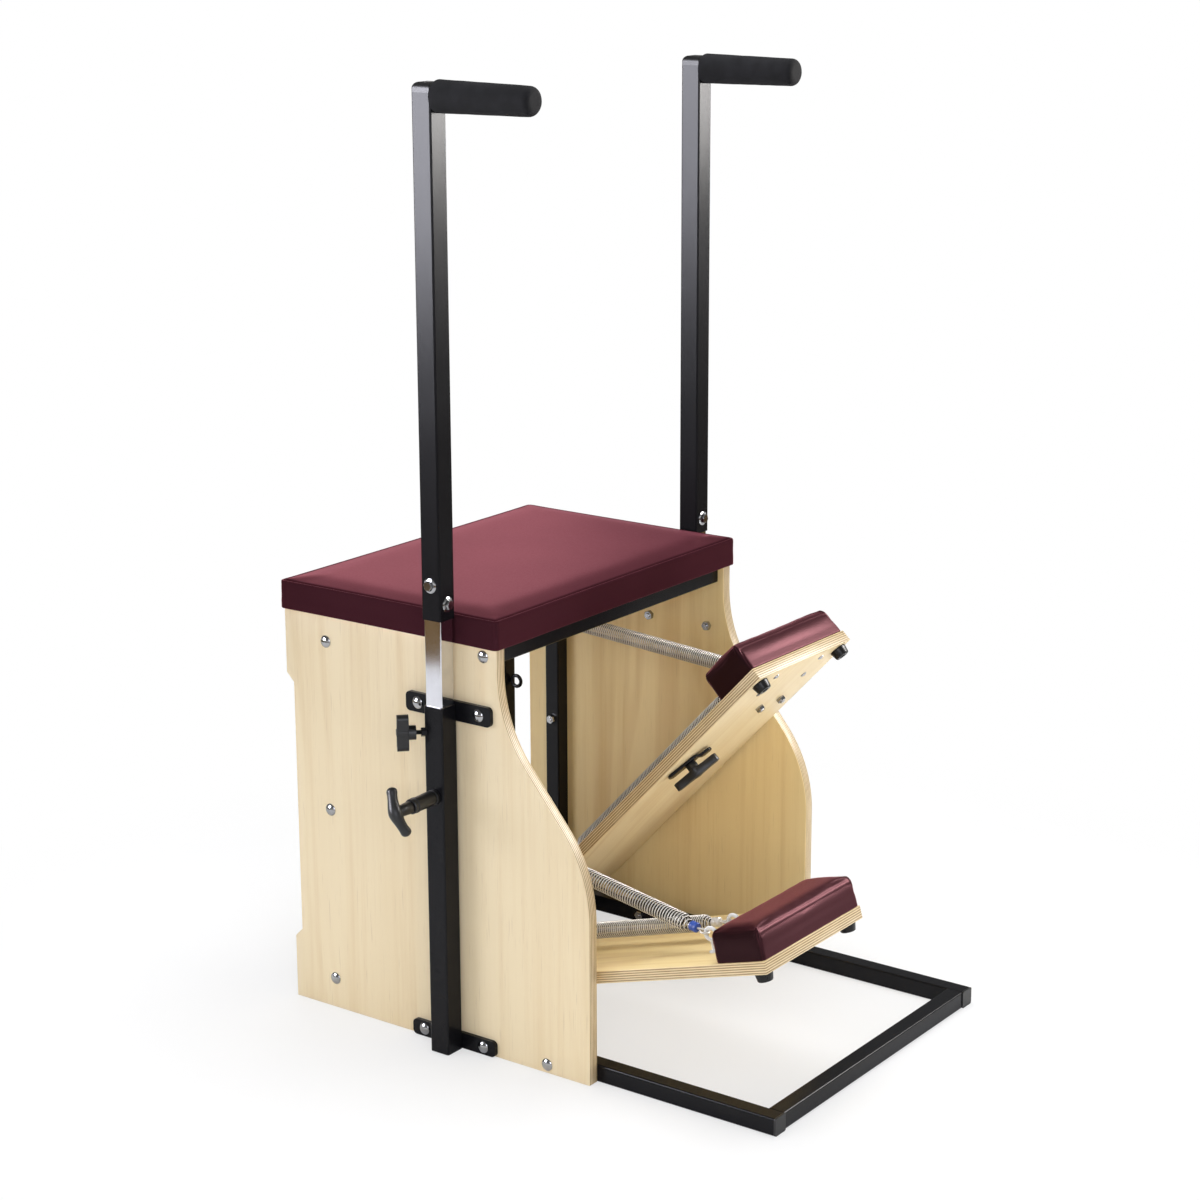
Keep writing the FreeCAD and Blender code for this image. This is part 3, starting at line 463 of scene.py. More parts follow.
def meshFrom(bm, name="part"):
    bmesh.ops.recalc_face_normals(bm, faces=bm.faces)
    mesh = bpy.data.meshes.new(name)
    bm.to_mesh(mesh)
    bm.free()
    return mesh


def joinMeshes(meshes, matrix=None):
    # meshes or (mesh, place) pairs into one mesh; materials follow the first list that has them
    bm = bmesh.new()
    slots = []
    for item in meshes:
        mesh, place = item if isinstance(item, tuple) else (item, Matrix.Identity(4))
        part = mesh.copy()
        part.transform(place)
        shift = []
        for material in part.materials:
            if material not in slots:
                slots.append(material)
            shift.append(slots.index(material))
        first = len(bm.faces)
        bm.from_mesh(part)
        bm.faces.ensure_lookup_table()
        if shift:
            for face in bm.faces[first:]:
                face.material_index = shift[min(face.material_index, len(shift) - 1)]
        bpy.data.meshes.remove(part)
    joined = bpy.data.meshes.new("joined")
    bm.to_mesh(joined)
    bm.free()
    for material in slots:
        joined.materials.append(material)
    if matrix:
        joined.transform(matrix)
    return joined


pole = 0.0001 * mm


def lathe(profile, segments):
    # (radius, height) pairs round Z, from the lowest pole to the highest
    bm = bmesh.new()
    rings = []
    turn = 2 * math.pi / segments
    for radius, height in profile:
        if radius < pole:
            rings.append([bm.verts.new((0, 0, height))])
        else:
            rings.append([bm.verts.new((radius * math.cos(k * turn), radius * math.sin(k * turn), height))
                          for k in range(segments)])
    for low, high in zip(rings, rings[1:]):
        for k in range(segments):
            j = (k + 1) % segments
            corners = [low[k % len(low)], low[j % len(low)], high[j % len(high)], high[k % len(high)]]
            unique = []
            for corner in corners:
                if corner not in unique:
                    unique.append(corner)
            if len(unique) > 2:
                bm.faces.new(unique)
    return meshFrom(bm)


def bridge(bm, rings):
    for low, high in zip(rings, rings[1:]):
        for k in range(len(low)):
            j = (k + 1) % len(low)
            bm.faces.new([low[k], low[j], high[j], high[k]])


def turned(rows, segments, base=0.0):
    # the same from rows in millimetres, above a base
    return lathe([(radius * mm, base + height * mm) for radius, height in rows], segments)


def arcProfile(centre, radius, start, stop, steps):
    points = []
    for k in range(steps + 1):
        angle = math.radians(start + (stop - start) * k / steps)
        points.append((centre[0] + radius * math.cos(angle), centre[1] + radius * math.sin(angle)))
    return points


def aimed(place, direction):
    turn = Vector(direction).to_track_quat("Z", "Y").to_matrix().to_4x4()
    return Matrix.Translation(place) @ turn


easing = {"weld": 0.02 * mm, "flat": math.radians(0.5), "sharp": math.radians(32)}


def softEdges(node, width, segments=2, shortest=3 * mm):
    # a copy of a CAD node with its corners eased; short edges such as hole rims stay
    mesh = cadNodes[node].data.copy()
    bm = bmesh.new()
    bm.from_mesh(mesh)
    bmesh.ops.remove_doubles(bm, verts=bm.verts, dist=easing["weld"])
    bmesh.ops.dissolve_limit(bm, angle_limit=easing["flat"], verts=bm.verts, edges=bm.edges)
    edges = [e for e in bm.edges if len(e.link_faces) == 2 and e.calc_length() > shortest
             and e.calc_face_angle(0) > easing["sharp"]]
    bmesh.ops.bevel(bm, geom=edges, offset=width, offset_type="OFFSET", segments=segments, profile=0.5,
                    affect="EDGES", clamp_overlap=True)
    bmesh.ops.triangulate(bm, faces=[f for f in bm.faces if len(f.verts) > 4])
    bm.to_mesh(mesh)
    bm.free()
    return mesh


def evaluated(holder):
    bpy.context.view_layer.update()
    return holder.evaluated_get(bpy.context.evaluated_depsgraph_get())


def tubeMesh(points, radii, sides, resolution):
    # round tube through points, with its own radius at each
    curve = bpy.data.curves.new("tubePath", "CURVE")
    curve.dimensions = "3D"
    curve.bevel_depth = 1.0
    curve.bevel_resolution = max(1, sides // 4)
    curve.use_fill_caps = True
    curve.resolution_u = resolution
    spline = curve.splines.new("NURBS")
    spline.points.add(len(points) - 1)
    for spot, place, radius in zip(spline.points, points, radii):
        spot.co = (*place, 1.0)
        spot.radius = radius
    spline.order_u = 3
    spline.use_endpoint_u = True
    holder = bpy.data.objects.new("tubePath", curve)
    scene.collection.objects.link(holder)
    mesh = bpy.data.meshes.new_from_object(evaluated(holder))
    bpy.data.objects.remove(holder)
    mesh.materials.clear()
    return mesh


# Geometry Nodes helpers
def newTree(name, inputs):
    tree = bpy.data.node_groups.new(name, "GeometryNodeTree")
    tree.interface.new_socket("Geometry", in_out="INPUT", socket_type="NodeSocketGeometry")
    for label, kind, value in inputs:
        socket = tree.interface.new_socket(label, in_out="INPUT", socket_type="NodeSocket" + kind)
        if value is not None:
            socket.default_value = value
    tree.interface.new_socket("Geometry", in_out="OUTPUT", socket_type="NodeSocketGeometry")
    return tree, tree.nodes.new("NodeGroupInput").outputs, tree.nodes.new("NodeGroupOutput").inputs


def runTree(tree, base, values):
    holder = bpy.data.objects.new("treeHolder", base)
    scene.collection.objects.link(holder)
    modifier = holder.modifiers.new("tree", "NODES")
    for item in tree.interface.items_tree:
        if item.in_out == "INPUT" and item.name in values:
            values[item.identifier] = values.pop(item.name)
    modifier.node_group = tree
    for key, value in values.items():
        modifier[key] = value
    mesh = bpy.data.meshes.new_from_object(evaluated(holder))
    holder.modifiers.clear()
    bpy.data.objects.remove(holder)
    return mesh


def finishTree(tree, shape, finish, result):
    solid = addNode(tree, "GeometryNodeRealizeInstances", {"Geometry": shape})
    painted = addNode(tree, "GeometryNodeSetMaterial", {"Geometry": solid.outputs[0], "Material": finish})
    tree.links.new(painted.outputs[0], result["Geometry"])
    return tree


fullTurn = 6.283


def makeFastenerTree():
    tree, given, result = newTree("fastenersOnPoints", [
        ("Part", "Object", None), ("Finish", "Material", None), ("Spin", "Float", fullTurn),
        ("Seed", "Int", 4)])
    aim = addNode(tree, "GeometryNodeInputNamedAttribute", {"Name": "aim"}, data_type="FLOAT_VECTOR")
    facing = addNode(tree, "FunctionNodeAlignRotationToVector",
                     {"Vector": aim.outputs["Attribute"]}, axis="Z")
    angle = addNode(tree, "FunctionNodeRandomValue", data_type="FLOAT")
    tree.links.new(given["Spin"], angle.inputs[3])
    tree.links.new(given["Seed"], angle.inputs["Seed"])
    own = addNode(tree, "FunctionNodeAxisAngleToRotation", {"Axis": (0, 0, 1), "Angle": angle.outputs[1]})
    spun = addNode(tree, "FunctionNodeRotateRotation",
                   {"Rotation": facing.outputs[0], "Rotate By": own.outputs[0]}, rotation_space="LOCAL")
    part = addNode(tree, "GeometryNodeObjectInfo", {"Object": given["Part"]})
    copies = addNode(tree, "GeometryNodeInstanceOnPoints", {
        "Points": given["Geometry"], "Instance": part.outputs["Geometry"], "Rotation": spun.outputs[0]})
    return finishTree(tree, copies.outputs[0], given["Finish"], result)


fastenerTree = makeFastenerTree()


def fasteners(partMesh, spots, finish, seed=4):
    # spots are (place, direction) pairs
    base = bpy.data.meshes.new("spots")
    base.from_pydata([place for place, _ in spots], [], [])
    aim = base.attributes.new("aim", "FLOAT_VECTOR", "POINT")
    for value, (_, direction) in zip(aim.data, spots):
        value.vector = direction
    holder = bpy.data.objects.new("fastenerPart", partMesh)
    scene.collection.objects.link(holder)
    mesh = runTree(fastenerTree, base, {"Part": holder, "Finish": finish, "Spin": fullTurn, "Seed": seed})
    bpy.data.objects.remove(holder)
    return mesh


def makeSpringTree():
    tree, given, result = newTree("closeWoundSpring", [
        ("Turns", "Float", 100.0), ("Radius", "Float", 0.0108), ("Wire Radius", "Float", 0.0011),
        ("Length", "Float", 0.3), ("Taper Length", "Float", 0.014), ("End Radius", "Float", 0.004),
        ("Steps", "Int", 20), ("Sides", "Int", 6), ("Finish", "Material", None)])
    spiral = addNode(tree, "GeometryNodeCurveSpiral", {
        "Resolution": given["Steps"], "Rotations": given["Turns"], "Start Radius": given["Radius"],
        "End Radius": given["Radius"], "Height": given["Length"]})
    along = addNode(tree, "GeometryNodeSplineParameter").outputs["Factor"]
    back = math2(tree, "SUBTRACT", 1.0, along)
    fromEnd = math2(tree, "MULTIPLY", math2(tree, "MINIMUM", along, back), given["Length"])
    part = ramp(tree, fromEnd, 0.0, given["Taper Length"])
    least = math2(tree, "DIVIDE", given["End Radius"], given["Radius"])
    width = ranged(tree, part, low=least, high=1.0)
    factors = addNode(tree, "ShaderNodeCombineXYZ", {"X": width, "Y": width, "Z": 1.0}).outputs[0]
    place = scaled(tree, addNode(tree, "GeometryNodeInputPosition").outputs[0], factors)
    moved = addNode(tree, "GeometryNodeSetPosition", {"Geometry": spiral.outputs[0], "Position": place})
    section = addNode(tree, "GeometryNodeCurvePrimitiveCircle", {
        "Resolution": given["Sides"], "Radius": given["Wire Radius"]})
    tube = addNode(tree, "GeometryNodeCurveToMesh", {
        "Curve": moved.outputs[0], "Profile Curve": section.outputs[0], "Fill Caps": True})
    return finishTree(tree, tube.outputs[0], given["Finish"], result)


springTree = makeSpringTree()

# pedals: a flat frame (x, -reach, rise) that each pedal tilts about its hinge
pedal = {
    "hinge": (0, 256.4 * mm, 25.4 * mm), "angle": {"left": 16.5, "right": 47.05},
    "boardLow": 3 * mm, "boardMiddle": 12 * mm, "boardTop": 21 * mm, "eyeRise": 46 * mm,
    # x and reach in millimetres; the eyes are the outer, the front and the rear one
    "pad": (135.5, 637.5), "eyes": ((197, 556), (141, 556), (141, 90)), "feet": ((30.5, 660), (240.5, 660)),
    "screws": ((75.5, 616), (195.5, 616), (75.5, 658), (195.5, 658)),
}


def pedalPlace(side):
    return Matrix.Translation(pedal["hinge"]) @ Matrix.Rotation(-math.radians(pedal["angle"][side]), 4, "X")


def onPedal(sign, x, reach, rise):
    return Vector((sign * x * mm, -reach * mm, rise))


# plywood: panels and boards with eased edges and a grain direction of their own
plywood = {
    # the last value here is how much painted shade the boards' undersides take
    "ease": 0.9 * mm, "panelFace": 268 * mm, "panelMiddle": 277 * mm, "underPaintedShade": 0.35,
    # where each board was cut from the sheet, and how the thinner seat board fits the plies
    "panelShift": {"left": 0.0, "right": 3.0}, "panelDrop": 0.7, "boardShift": {"left": 5.1, "right": 1.3},
    "seatShift": 2.0, "seatPlies": 1.5,
}


# the second attribute says how much painted shade, a darker and warmer wood tone, each spot takes
def setGrain(mesh, axisOf, paintedShadeOf=lambda p: 1.0):
    grain = mesh.attributes.new("woodAxis", "FLOAT_VECTOR", "POINT")
    for value, vertex in zip(grain.data, mesh.vertices):
        value.vector = axisOf(vertex.co)
    paintedShade = mesh.attributes.new("woodPaintedShade", "FLOAT", "POINT")
    for value, vertex in zip(paintedShade.data, mesh.vertices):
        value.value = paintedShadeOf(vertex.co)


def addPlywood():
    for side, _ in sides:
        panelShift, boardShift = plywood["panelShift"][side], plywood["boardShift"][side]
        back = pedalPlace(side).inverted()

        def panelGrain(p):
            along = p.z + plywood["panelDrop"] * panelShift
            return (p.y + panelShift, along, abs(p.x) - plywood["panelFace"])

        def boardGrain(p):
            flat = back @ p
            return (flat.x + boardShift, flat.y, flat.z - pedal["boardLow"])

        node = side + "_side_panel"
        mesh = softEdges(node, plywood["ease"])
        # painted shade on the panels' inner faces
        setGrain(mesh, panelGrain, lambda p: 1.0 if abs(p.x) < plywood["panelMiddle"] else 0.0)
        newPiece(side + "Panel", mesh, "frame", node)
        node = side + "_pedal_board"
        mesh = softEdges(node, plywood["ease"])
        # painted shade on each board's upper half, and in part on its underside
        setGrain(mesh, boardGrain,
                 lambda p: 1.0 if (back @ p).z > pedal["boardMiddle"] else plywood["underPaintedShade"])
        newPiece(side + "PedalBoard", mesh, side + "_pedal", node)
    mesh = softEdges("seat_board", plywood["ease"])
    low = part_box("seat_board")[0].z
    # painted shade over the whole seat board
    setGrain(mesh, lambda p: (p.y, p.x + plywood["seatShift"], (p.z - low) * plywood["seatPlies"]))
    newPiece("seatBoard", mesh, "frame", "seat_board")


addPlywood()
print("plywood done")

# upholstery: boxed cushions on a grid that is denser at the edges, swollen by a cloth run
seatCushion = metres({
    "halfX": 292.6, "halfY": 196.4, "height": 44.6, "corner": 8, "roll": 2.6, "tuck": 1.5, "crown": 2.8,
    "spread": 45, "sag": 1.8, "step": 11, "cap": 2.2, "sideCap": 0.2, "seamAt": 5.2, "seamDepth": 2.0,
    "seamWidth": 1.5, "crease": 1.0, "creaseFrom": 15, "ripple": 0.45,
})
pedalPad = metres({
    "halfX": 121, "halfY": 39.5, "height": 46, "corner": 6.5, "roll": 7, "tuck": 2.2, "crown": 3.2,
    "spread": 24, "sag": 0.3, "step": 7, "cap": 2.6, "sideCap": 1.4, "seamAt": 0.0, "seamDepth": 0.0,
    "seamWidth": 1.0, "crease": 0.7, "creaseFrom": 2, "ripple": 0.35,
})
# shared by the seat and the pads
cover = {
    **metres({"cell": 6, "sagReach": 60, "rippleFrom": 9, "rippleRise": 30, "puckerReach": 22,
              "creaseWidth": 1.3, "creaseTop": 3}),
    "rippleWaves": 9, "puckerWaves": (60, 150), "puckerDepth": 0.4, "atCorner": 0.5, "diagonal": 0.7,
    # how far a face must turn to the side before it takes the painted end shade
    "endShadeFrom": 0.6, "endShadeOver": 0.3, "fill": 0.9,
    # the cloth run: the part of the height that is held, the length of the run and the modifier's settings
    "held": 0.35, "frames": 20,
    "cloth": {"quality": 6, "mass": 0.25, "tension_stiffness": 20, "compression_stiffness": 20,
              "use_pressure": True, "uniform_pressure_force": 4, "vertex_group_mass": "held"},
}
edgeRows = [row * mm for row in (0.0, 0.7, 1.4, 2.2, 3.2, 4.4, 5.2, 6.0, 6.8, 7.8, 9.6, 13.0)]


def gridLine(half, step):
    inner = half - edgeRows[-1]
    count = max(2, round(2 * inner / step))
    middle = [-inner + 2 * inner * k / count for k in range(count + 1)]
    rim = [-half + row for row in edgeRows[:-1]]
    return rim + middle + [-value for value in reversed(rim)]


def cushionMesh(spec):
    a, b, top = spec["halfX"], spec["halfY"], spec["height"] - spec["crown"]
    corner = spec["corner"]
    xs, ys = gridLine(a, spec["step"]), gridLine(b, spec["step"])
    zs = [z + top / 2 for z in gridLine(top / 2, cover["cell"])]
    lastX, lastY, lastZ = len(xs) - 1, len(ys) - 1, len(zs) - 1
    verts, faces, index, inset = [], [], {}, []

    def place(i, j, k):
        x, y, z = xs[i], ys[j], zs[k]
        u, v = (abs(x) - (a - corner)) / corner, (abs(y) - (b - corner)) / corner
        if u > 0 and v > 0:
            x = math.copysign(a - corner + corner * u * math.sqrt(1 - v * v / 2), x)
            y = math.copysign(b - corner + corner * v * math.sqrt(1 - u * u / 2), y)
        qx, qy = abs(x) - (a - corner), abs(y) - (b - corner)
        if qx > 0 and qy > 0:
            reach = math.hypot(qx, qy)
            within = corner - reach
            inward = Vector((-math.copysign(qx / reach, x), -math.copysign(qy / reach, y)))
        elif qx > qy:
            within = corner - qx
            inward = Vector((-math.copysign(1, x), 0))
        else:
            within = corner - qy
            inward = Vector((0, -math.copysign(1, y)))
        moved, height = within, z
        for radius, level, way in ((spec["roll"], top - spec["roll"], 1), (spec["tuck"], spec["tuck"], -1)):
            across, rise = moved - max(moved, radius), (height - level) * way
            if across < 0 and rise > 0:
                size = math.hypot(across, rise)
                across, rise = across / size * radius, rise / size * radius
                moved, height = radius + across, level + way * rise
        along = y / b if abs(inward.x) > abs(inward.y) else x / a
        moved += spec["sag"] * (1 - along * along) * max(0.0, 1 - within / cover["sagReach"])
        spot = Vector((x, y)) + inward * (moved - within)
        if k == lastZ:
            slope = 1 - min(within / spec["spread"], 1)
            height += spec["crown"] * (1 - slope * slope)
        return (spot.x, spot.y, height), within

    def vertex(i, j, k):
        key = (i, j, k)
        if key not in index:
            spot, within = place(i, j, k)
            index[key] = len(verts)
            verts.append(spot)
            inset.append((within, k == lastZ, i in (0, lastX), j in (0, lastY)))
        return index[key]

    def quad(*corners):
        faces.append([vertex(*spot) for spot in corners])

    for i in range(lastX):
        for j in range(lastY):
            for k in (0, lastZ):
                quad((i, j, k), (i + 1, j, k), (i + 1, j + 1, k), (i, j + 1, k))
    for k in range(lastZ):
        for i in range(lastX):
            for j in (0, lastY):
                quad((i, j, k), (i + 1, j, k), (i + 1, j, k + 1), (i, j, k + 1))
        for j in range(lastY):
            for i in (0, lastX):
                quad((i, j, k), (i, j + 1, k), (i, j + 1, k + 1), (i, j, k + 1))
    mesh = bpy.data.meshes.new("cushion")
    mesh.from_pydata(verts, [], faces)
    bm = bmesh.new()
    bm.from_mesh(mesh)
    bmesh.ops.recalc_face_normals(bm, faces=bm.faces)
    bm.to_mesh(mesh)
    bm.free()
    return mesh, inset


def swell(mesh, spec):
    # cloth pressed from inside, its lower part held and each move capped
    holder = bpy.data.objects.new("clothHolder", mesh.copy())
    scene.collection.objects.link(holder)
    held = holder.vertex_groups.new(name="held")
    heldTo = cover["held"] * spec["height"]
    held.add([v.index for v in mesh.vertices if v.co.z < heldTo], 1.0, "REPLACE")
    cloth = holder.modifiers.new("cloth", "CLOTH")
    for key, value in cover["cloth"].items():
        setattr(cloth.settings, key, value)
    cloth.settings.effector_weights.gravity = 0
    cloth.collision_settings.use_collision = False
    cloth.point_cache.frame_start = 1
    cloth.point_cache.frame_end = cover["frames"]
    for step in range(1, cover["frames"] + 1):
        scene.frame_set(step)
    swollen = holder.evaluated_get(bpy.context.evaluated_depsgraph_get()).to_mesh()
    places = [v.co.copy() for v in swollen.vertices]
    holder.modifiers.clear()
    bpy.data.objects.remove(holder)
    scene.frame_set(1)
    for vertex, place in zip(mesh.vertices, places):
        move = place - vertex.co
        if move.length > spec["cap"]:
            move = move.normalized() * spec["cap"]
        for axis in (0, 1):
            move[axis] = max(-spec["sideCap"], min(spec["sideCap"], move[axis]))
        vertex.co += move


def sewSeams(mesh, inset, spec, seed):
    a, b, top = spec["halfX"], spec["halfY"], spec["height"]
    flatWaves, upWaves = cover["puckerWaves"]
    for vertex, (within, onTop, endX, endY) in zip(mesh.vertices, inset):
        place = vertex.co
        if onTop and spec["seamDepth"]:
            offset = (within - spec["seamAt"]) / spec["seamWidth"]
            place.z -= spec["seamDepth"] * math.exp(-offset * offset)
        if onTop and within > cover["rippleFrom"]:
            calm = min(1.0, (within - cover["rippleFrom"]) / cover["rippleRise"])
            wave = Vector((place.x * cover["rippleWaves"], place.y * cover["rippleWaves"], seed))
            place.z += spec["ripple"] * calm * noise.noise(wave)
        if (endX or endY) and spec["creaseFrom"] < place.z < top - cover["creaseTop"]:
            # upright seam at each corner and the small puckers beside it
            fromX, fromY = abs(abs(place.x) - a), abs(abs(place.y) - b)
            nearCorner = math.exp(-((fromX + fromY) / cover["puckerReach"]) ** 2)
            atCorner = nearCorner > cover["atCorner"]
            line = math.exp(-((fromX - fromY) / cover["creaseWidth"]) ** 2) if atCorner else 0
            wave = Vector((place.x * flatWaves, place.y * flatWaves, place.z * upWaves + seed))
            pucker = cover["puckerDepth"] * nearCorner * noise.noise(wave)
            wayX, wayY = math.copysign(1, place.x), math.copysign(1, place.y)
            outward = Vector((wayX if endX else 0, wayY if endY else 0, 0))
            if atCorner:
                outward = Vector((wayX * cover["diagonal"], wayY * cover["diagonal"], 0))
            place -= outward * (spec["crease"] * (line + max(0, pucker)))


def addCushion(name, node, body, spec, matrix, fill, seed, hide=None):
    mesh, inset = cushionMesh(spec)
    swell(mesh, spec)
    sewSeams(mesh, inset, spec, seed)
    # painted shade: the pads' end faces take a darker colour, standing in for the shade they sit in
    paintedEndShade = mesh.attributes.new("paintedEndShade", "FLOAT", "POINT")
    for value, vertex in zip(paintedEndShade.data, mesh.vertices):
        value.value = min(1.0, max(0.0, (abs(vertex.normal.x) - cover["endShadeFrom"]) / cover["endShadeOver"]))
    mesh.transform(matrix)
    piece = newPiece(name, mesh, None, node, hide, smooth=180)
    finer = piece.modifiers.new("finer", "SUBSURF")
    finer.levels = 1
    finer.render_levels = 1
    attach(piece, body)
    return piece


def keepFromCard(card, pieces):
    # a card that draws the masts' shine is not seen in these pieces
    apart = bpy.data.collections.new(card + "Apart")
    for piece in pieces:
        apart.objects.link(piece)
    for member in apart.collection_objects:
        member.light_linking.link_state = "EXCLUDE"
    bpy.data.objects[card].light_linking.receiver_collection = apart


def addUpholstery():
    low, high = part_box("seat_cushion")
    middle = Matrix.Translation((0, (low.y + high.y) / 2, low.z))
    pieces = [addCushion("seatCushion", "seat_cushion", "frame", seatCushion, middle, cover["fill"], 2.0)]
    for side, sign in sides:
        place = pedalPlace(side) @ Matrix.Translation(onPedal(sign, *pedal["pad"], pedal["boardTop"]))
        pieces.append(addCushion(side + "PedalPad", side + "_pedal_pad", side + "_pedal", pedalPad, place,
                                 cover["fill"], 5.0 + sign, shadedPadVinyl))
    keepFromCard("leftCard", pieces)
    keepFromCard("rightCard", pieces[:1])


addUpholstery()
print("upholstery done")

# springs: a coil with tapered ends, and a hook in a collar at each end
spring = {
    **metres({"wire": 2.2, "outside": 24, "taper": 15, "endRadius": 4.2, "coilFrom": 25.5, "hookRadius": 6.5,
              "hookWire": 1.5, "hookCentre": 1.75, "inCoil": 4, "collarFrom": 14.25, "ring": 8.5,
              "postX": 120, "postY": 309.6}),
    "postZ": metres({"left": 283, "right": 525}), "turns": 110, "steps": 20, "wireSides": 6,
    # first angle, step and number of the hook's points, then its neck: aside in radii and along
    "hook": (-135, 22.5, 13), "neck": ((0.55, -0.2), (0, 4), (0, 9)),
    "collar": ((0, 0.4), (3.15, 0), (6.16, 0), (6.79, 0.5), (7, 1.4), (7, 4.8), (6.58, 5.52), (6.58, 6.48),
               (7, 7.2), (7, 10.8), (6.65, 11.6), (5.6, 12), (0, 12)),
}


def hangPoint(eye, other):
    pull = Vector((0, other.y - eye.y, other.z - eye.z)).normalized()
    return eye + pull * spring["ring"]


def springFrame(start, end):
    ahead = (end - start).normalized()
    side = Vector((1, 0, 0))
    side = (side - ahead * side.dot(ahead)).normalized()
    up = ahead.cross(side)
    turn = Matrix((side, up, ahead)).transposed().to_4x4()
    return Matrix.Translation(start) @ turn


def coilMesh(start, end):
    length = (end - start).length - 2 * spring["coilFrom"]
    base = bpy.data.meshes.new("coilBase")
    mesh = runTree(springTree, base, {
        "Turns": spring["turns"], "Radius": (spring["outside"] - spring["wire"]) / 2,
        "Wire Radius": spring["wire"] / 2, "Length": length, "Taper Length": spring["taper"],
        "End Radius": spring["endRadius"], "Steps": spring["steps"], "Sides": spring["wireSides"],
        "Finish": finishes["spring_steel"]})
    # how far each spot of the wire is turned to the inside of the coil, which sets the painted shade there
    paintedHollowShade = mesh.attributes.new("paintedHollowShade", "FLOAT", "POINT")
    for value, vertex in zip(paintedHollowShade.data, mesh.vertices):
        radial = Vector((vertex.co.x, vertex.co.y, 0)).normalized()
        value.value = (1 - vertex.normal.dot(radial)) / 2
    mesh.transform(springFrame(start, end) @ Matrix.Translation((0, 0, spring["coilFrom"])))
    return mesh


def hookMesh(start, end, blue):
    # open loop round the eye's wire, neck and crimped collar; local Z runs along the spring
    radius, centre = spring["hookRadius"], spring["hookCentre"]
    first, step, count = spring["hook"]
    angles = [math.radians(first + step * k) for k in range(count)]
    path = [(radius * math.sin(angle), 0, centre - radius * math.cos(angle)) for angle in angles]
    path += [(radius * aside, 0, centre + radius + along * mm) for aside, along in spring["neck"]]
    path.append((0, 0, spring["coilFrom"] + spring["inCoil"]))
    loop = tubeMesh(path, [spring["hookWire"]] * len(path), sides=12, resolution=5)
    loop.materials.append(finishes["spring_steel"])
    collar = turned(spring["collar"], segments=28, base=spring["collarFrom"])
    collar.materials.append(markerBlue if blue else finishes["spring_steel"])
    return joinMeshes([loop, collar], springFrame(start, end))


def addSprings():
    for side, sign in sides:
        place = pedalPlace(side)
        post = Vector((sign * spring["postX"], spring["postY"], spring["postZ"][side]))
        outer, fore, rear = (onPedal(sign, x, reach, pedal["eyeRise"]) for x, reach in pedal["eyes"])
        eye = place @ outer
        start, end = hangPoint(post, eye), hangPoint(eye, post)
        tail, front = hookMesh(start, end, False), hookMesh(end, start, True)
        newPiece(side + "SpringTail", tail, side + "_spring", side + "_spring_tail", smooth=60)
        newPiece(side + "SpringHook", front, side + "_spring_end", side + "_spring_hook", smooth=60)
        coil = newPiece(side + "SpringCoil", coilMesh(start, end), None, side + "_spring_coil", smooth=80)
        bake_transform(coil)
        start, end = hangPoint(rear, fore), hangPoint(fore, rear)
        parts = [coilMesh(start, end), hookMesh(start, end, False), hookMesh(end, start, False)]
        parked = joinMeshes(parts, place)
        newPiece(side + "ParkedSpring", parked, side + "_pedal", side + "_parked_spring", smooth=80)


addSprings()
print("springs done")

# bolts, nuts, screws and eyes
hardware = {
    **metres({"dome": 9, "domeHeight": 4.5, "screw": 5, "screwHeight": 2.4, "rim": 0.9, "rimEase": 0.25,
              "hexEase": 0.35, "eyeWire": 2.75, "eyeRing": 8.5}),
    "domeSteps": 8, "domeShape": (0.97, 0.8, 0.985), "eyeGrid": (36, 14),
    # radius and height in millimetres: the hexagon, a bolt's end and flange, an eye's foot
    "hexagon": ((7.5, 0), (7.5, 5.4), (6.75, 6.5)),
    "boltEnd": ((0, 5.5), (4, 5.5), (4, 7.4), (3.36, 8), (0, 8)),
    "flange": ((0, 0), (10.5, 0), (10.5, 0.9), (9.765, 1.3), (7.5, 2.2), (0, 2.2)),
    "eyeFoot": ((0, -25), (7.5, -25), (7.5, -23.4), (6.9, -22.7), (3.6, -22.6), (3.1, -21.6), (3, -9.5),
                (3.6, -7.9), (0, -7.1)),
}
# in millimetres: x of the faces that heads and nuts lie on, then y and z of the bolts
boltPlan = {
    "panelFace": 286, "bracketFace": 292, "panelInside": 268, "barInside": 242.6,
    "post": [(334.3, 558), (334.3, 306.5), (334.3, 45.6)], "rail": (50.2, 583.7), "bar": (-52.7, 12.7),
    "bracketYs": (55.55, 162.05), "bracketTop": 500.4, "bracketLow": 12.7,
    "mast": (((323.75, 108.8, 682), (1, 0, 0)), ((307.875, 92.925, 655), (0, -1, 0))),
}


def domeHead(radius, height):
    rim, steps = hardware["rim"], hardware["domeSteps"]
    under, side, over = hardware["domeShape"]
    ball = (radius * radius + (height - rim) ** 2) / (2 * (height - rim))
    profile = [(0, 0), (radius * under, 0), (radius, hardware["rimEase"]), (radius, rim * side)]
    for step in range(steps):
        angle = math.asin(radius * over / ball) * (1 - step / steps)
        profile.append((ball * math.sin(angle), rim + ball * math.cos(angle) - (ball - (height - rim))))
    return lathe(profile + [(0, height)], 28)


def hexHead(extra, segments):
    # chamfered hexagon with a bolt's end or flange
    bm = bmesh.new()
    turn = math.pi / 3
    rings = [[bm.verts.new((radius * mm * math.cos(k * turn), radius * mm * math.sin(k * turn), height * mm))
              for k in range(6)] for radius, height in hardware["hexagon"]]
    bridge(bm, rings)
    bm.faces.new(rings[0][::-1])
    bm.faces.new(rings[-1])
    bmesh.ops.bevel(bm, geom=list(bm.edges), offset=hardware["hexEase"], segments=2, affect="EDGES",
                    clamp_overlap=True)
    return joinMeshes([meshFrom(bm), turned(extra, segments)])


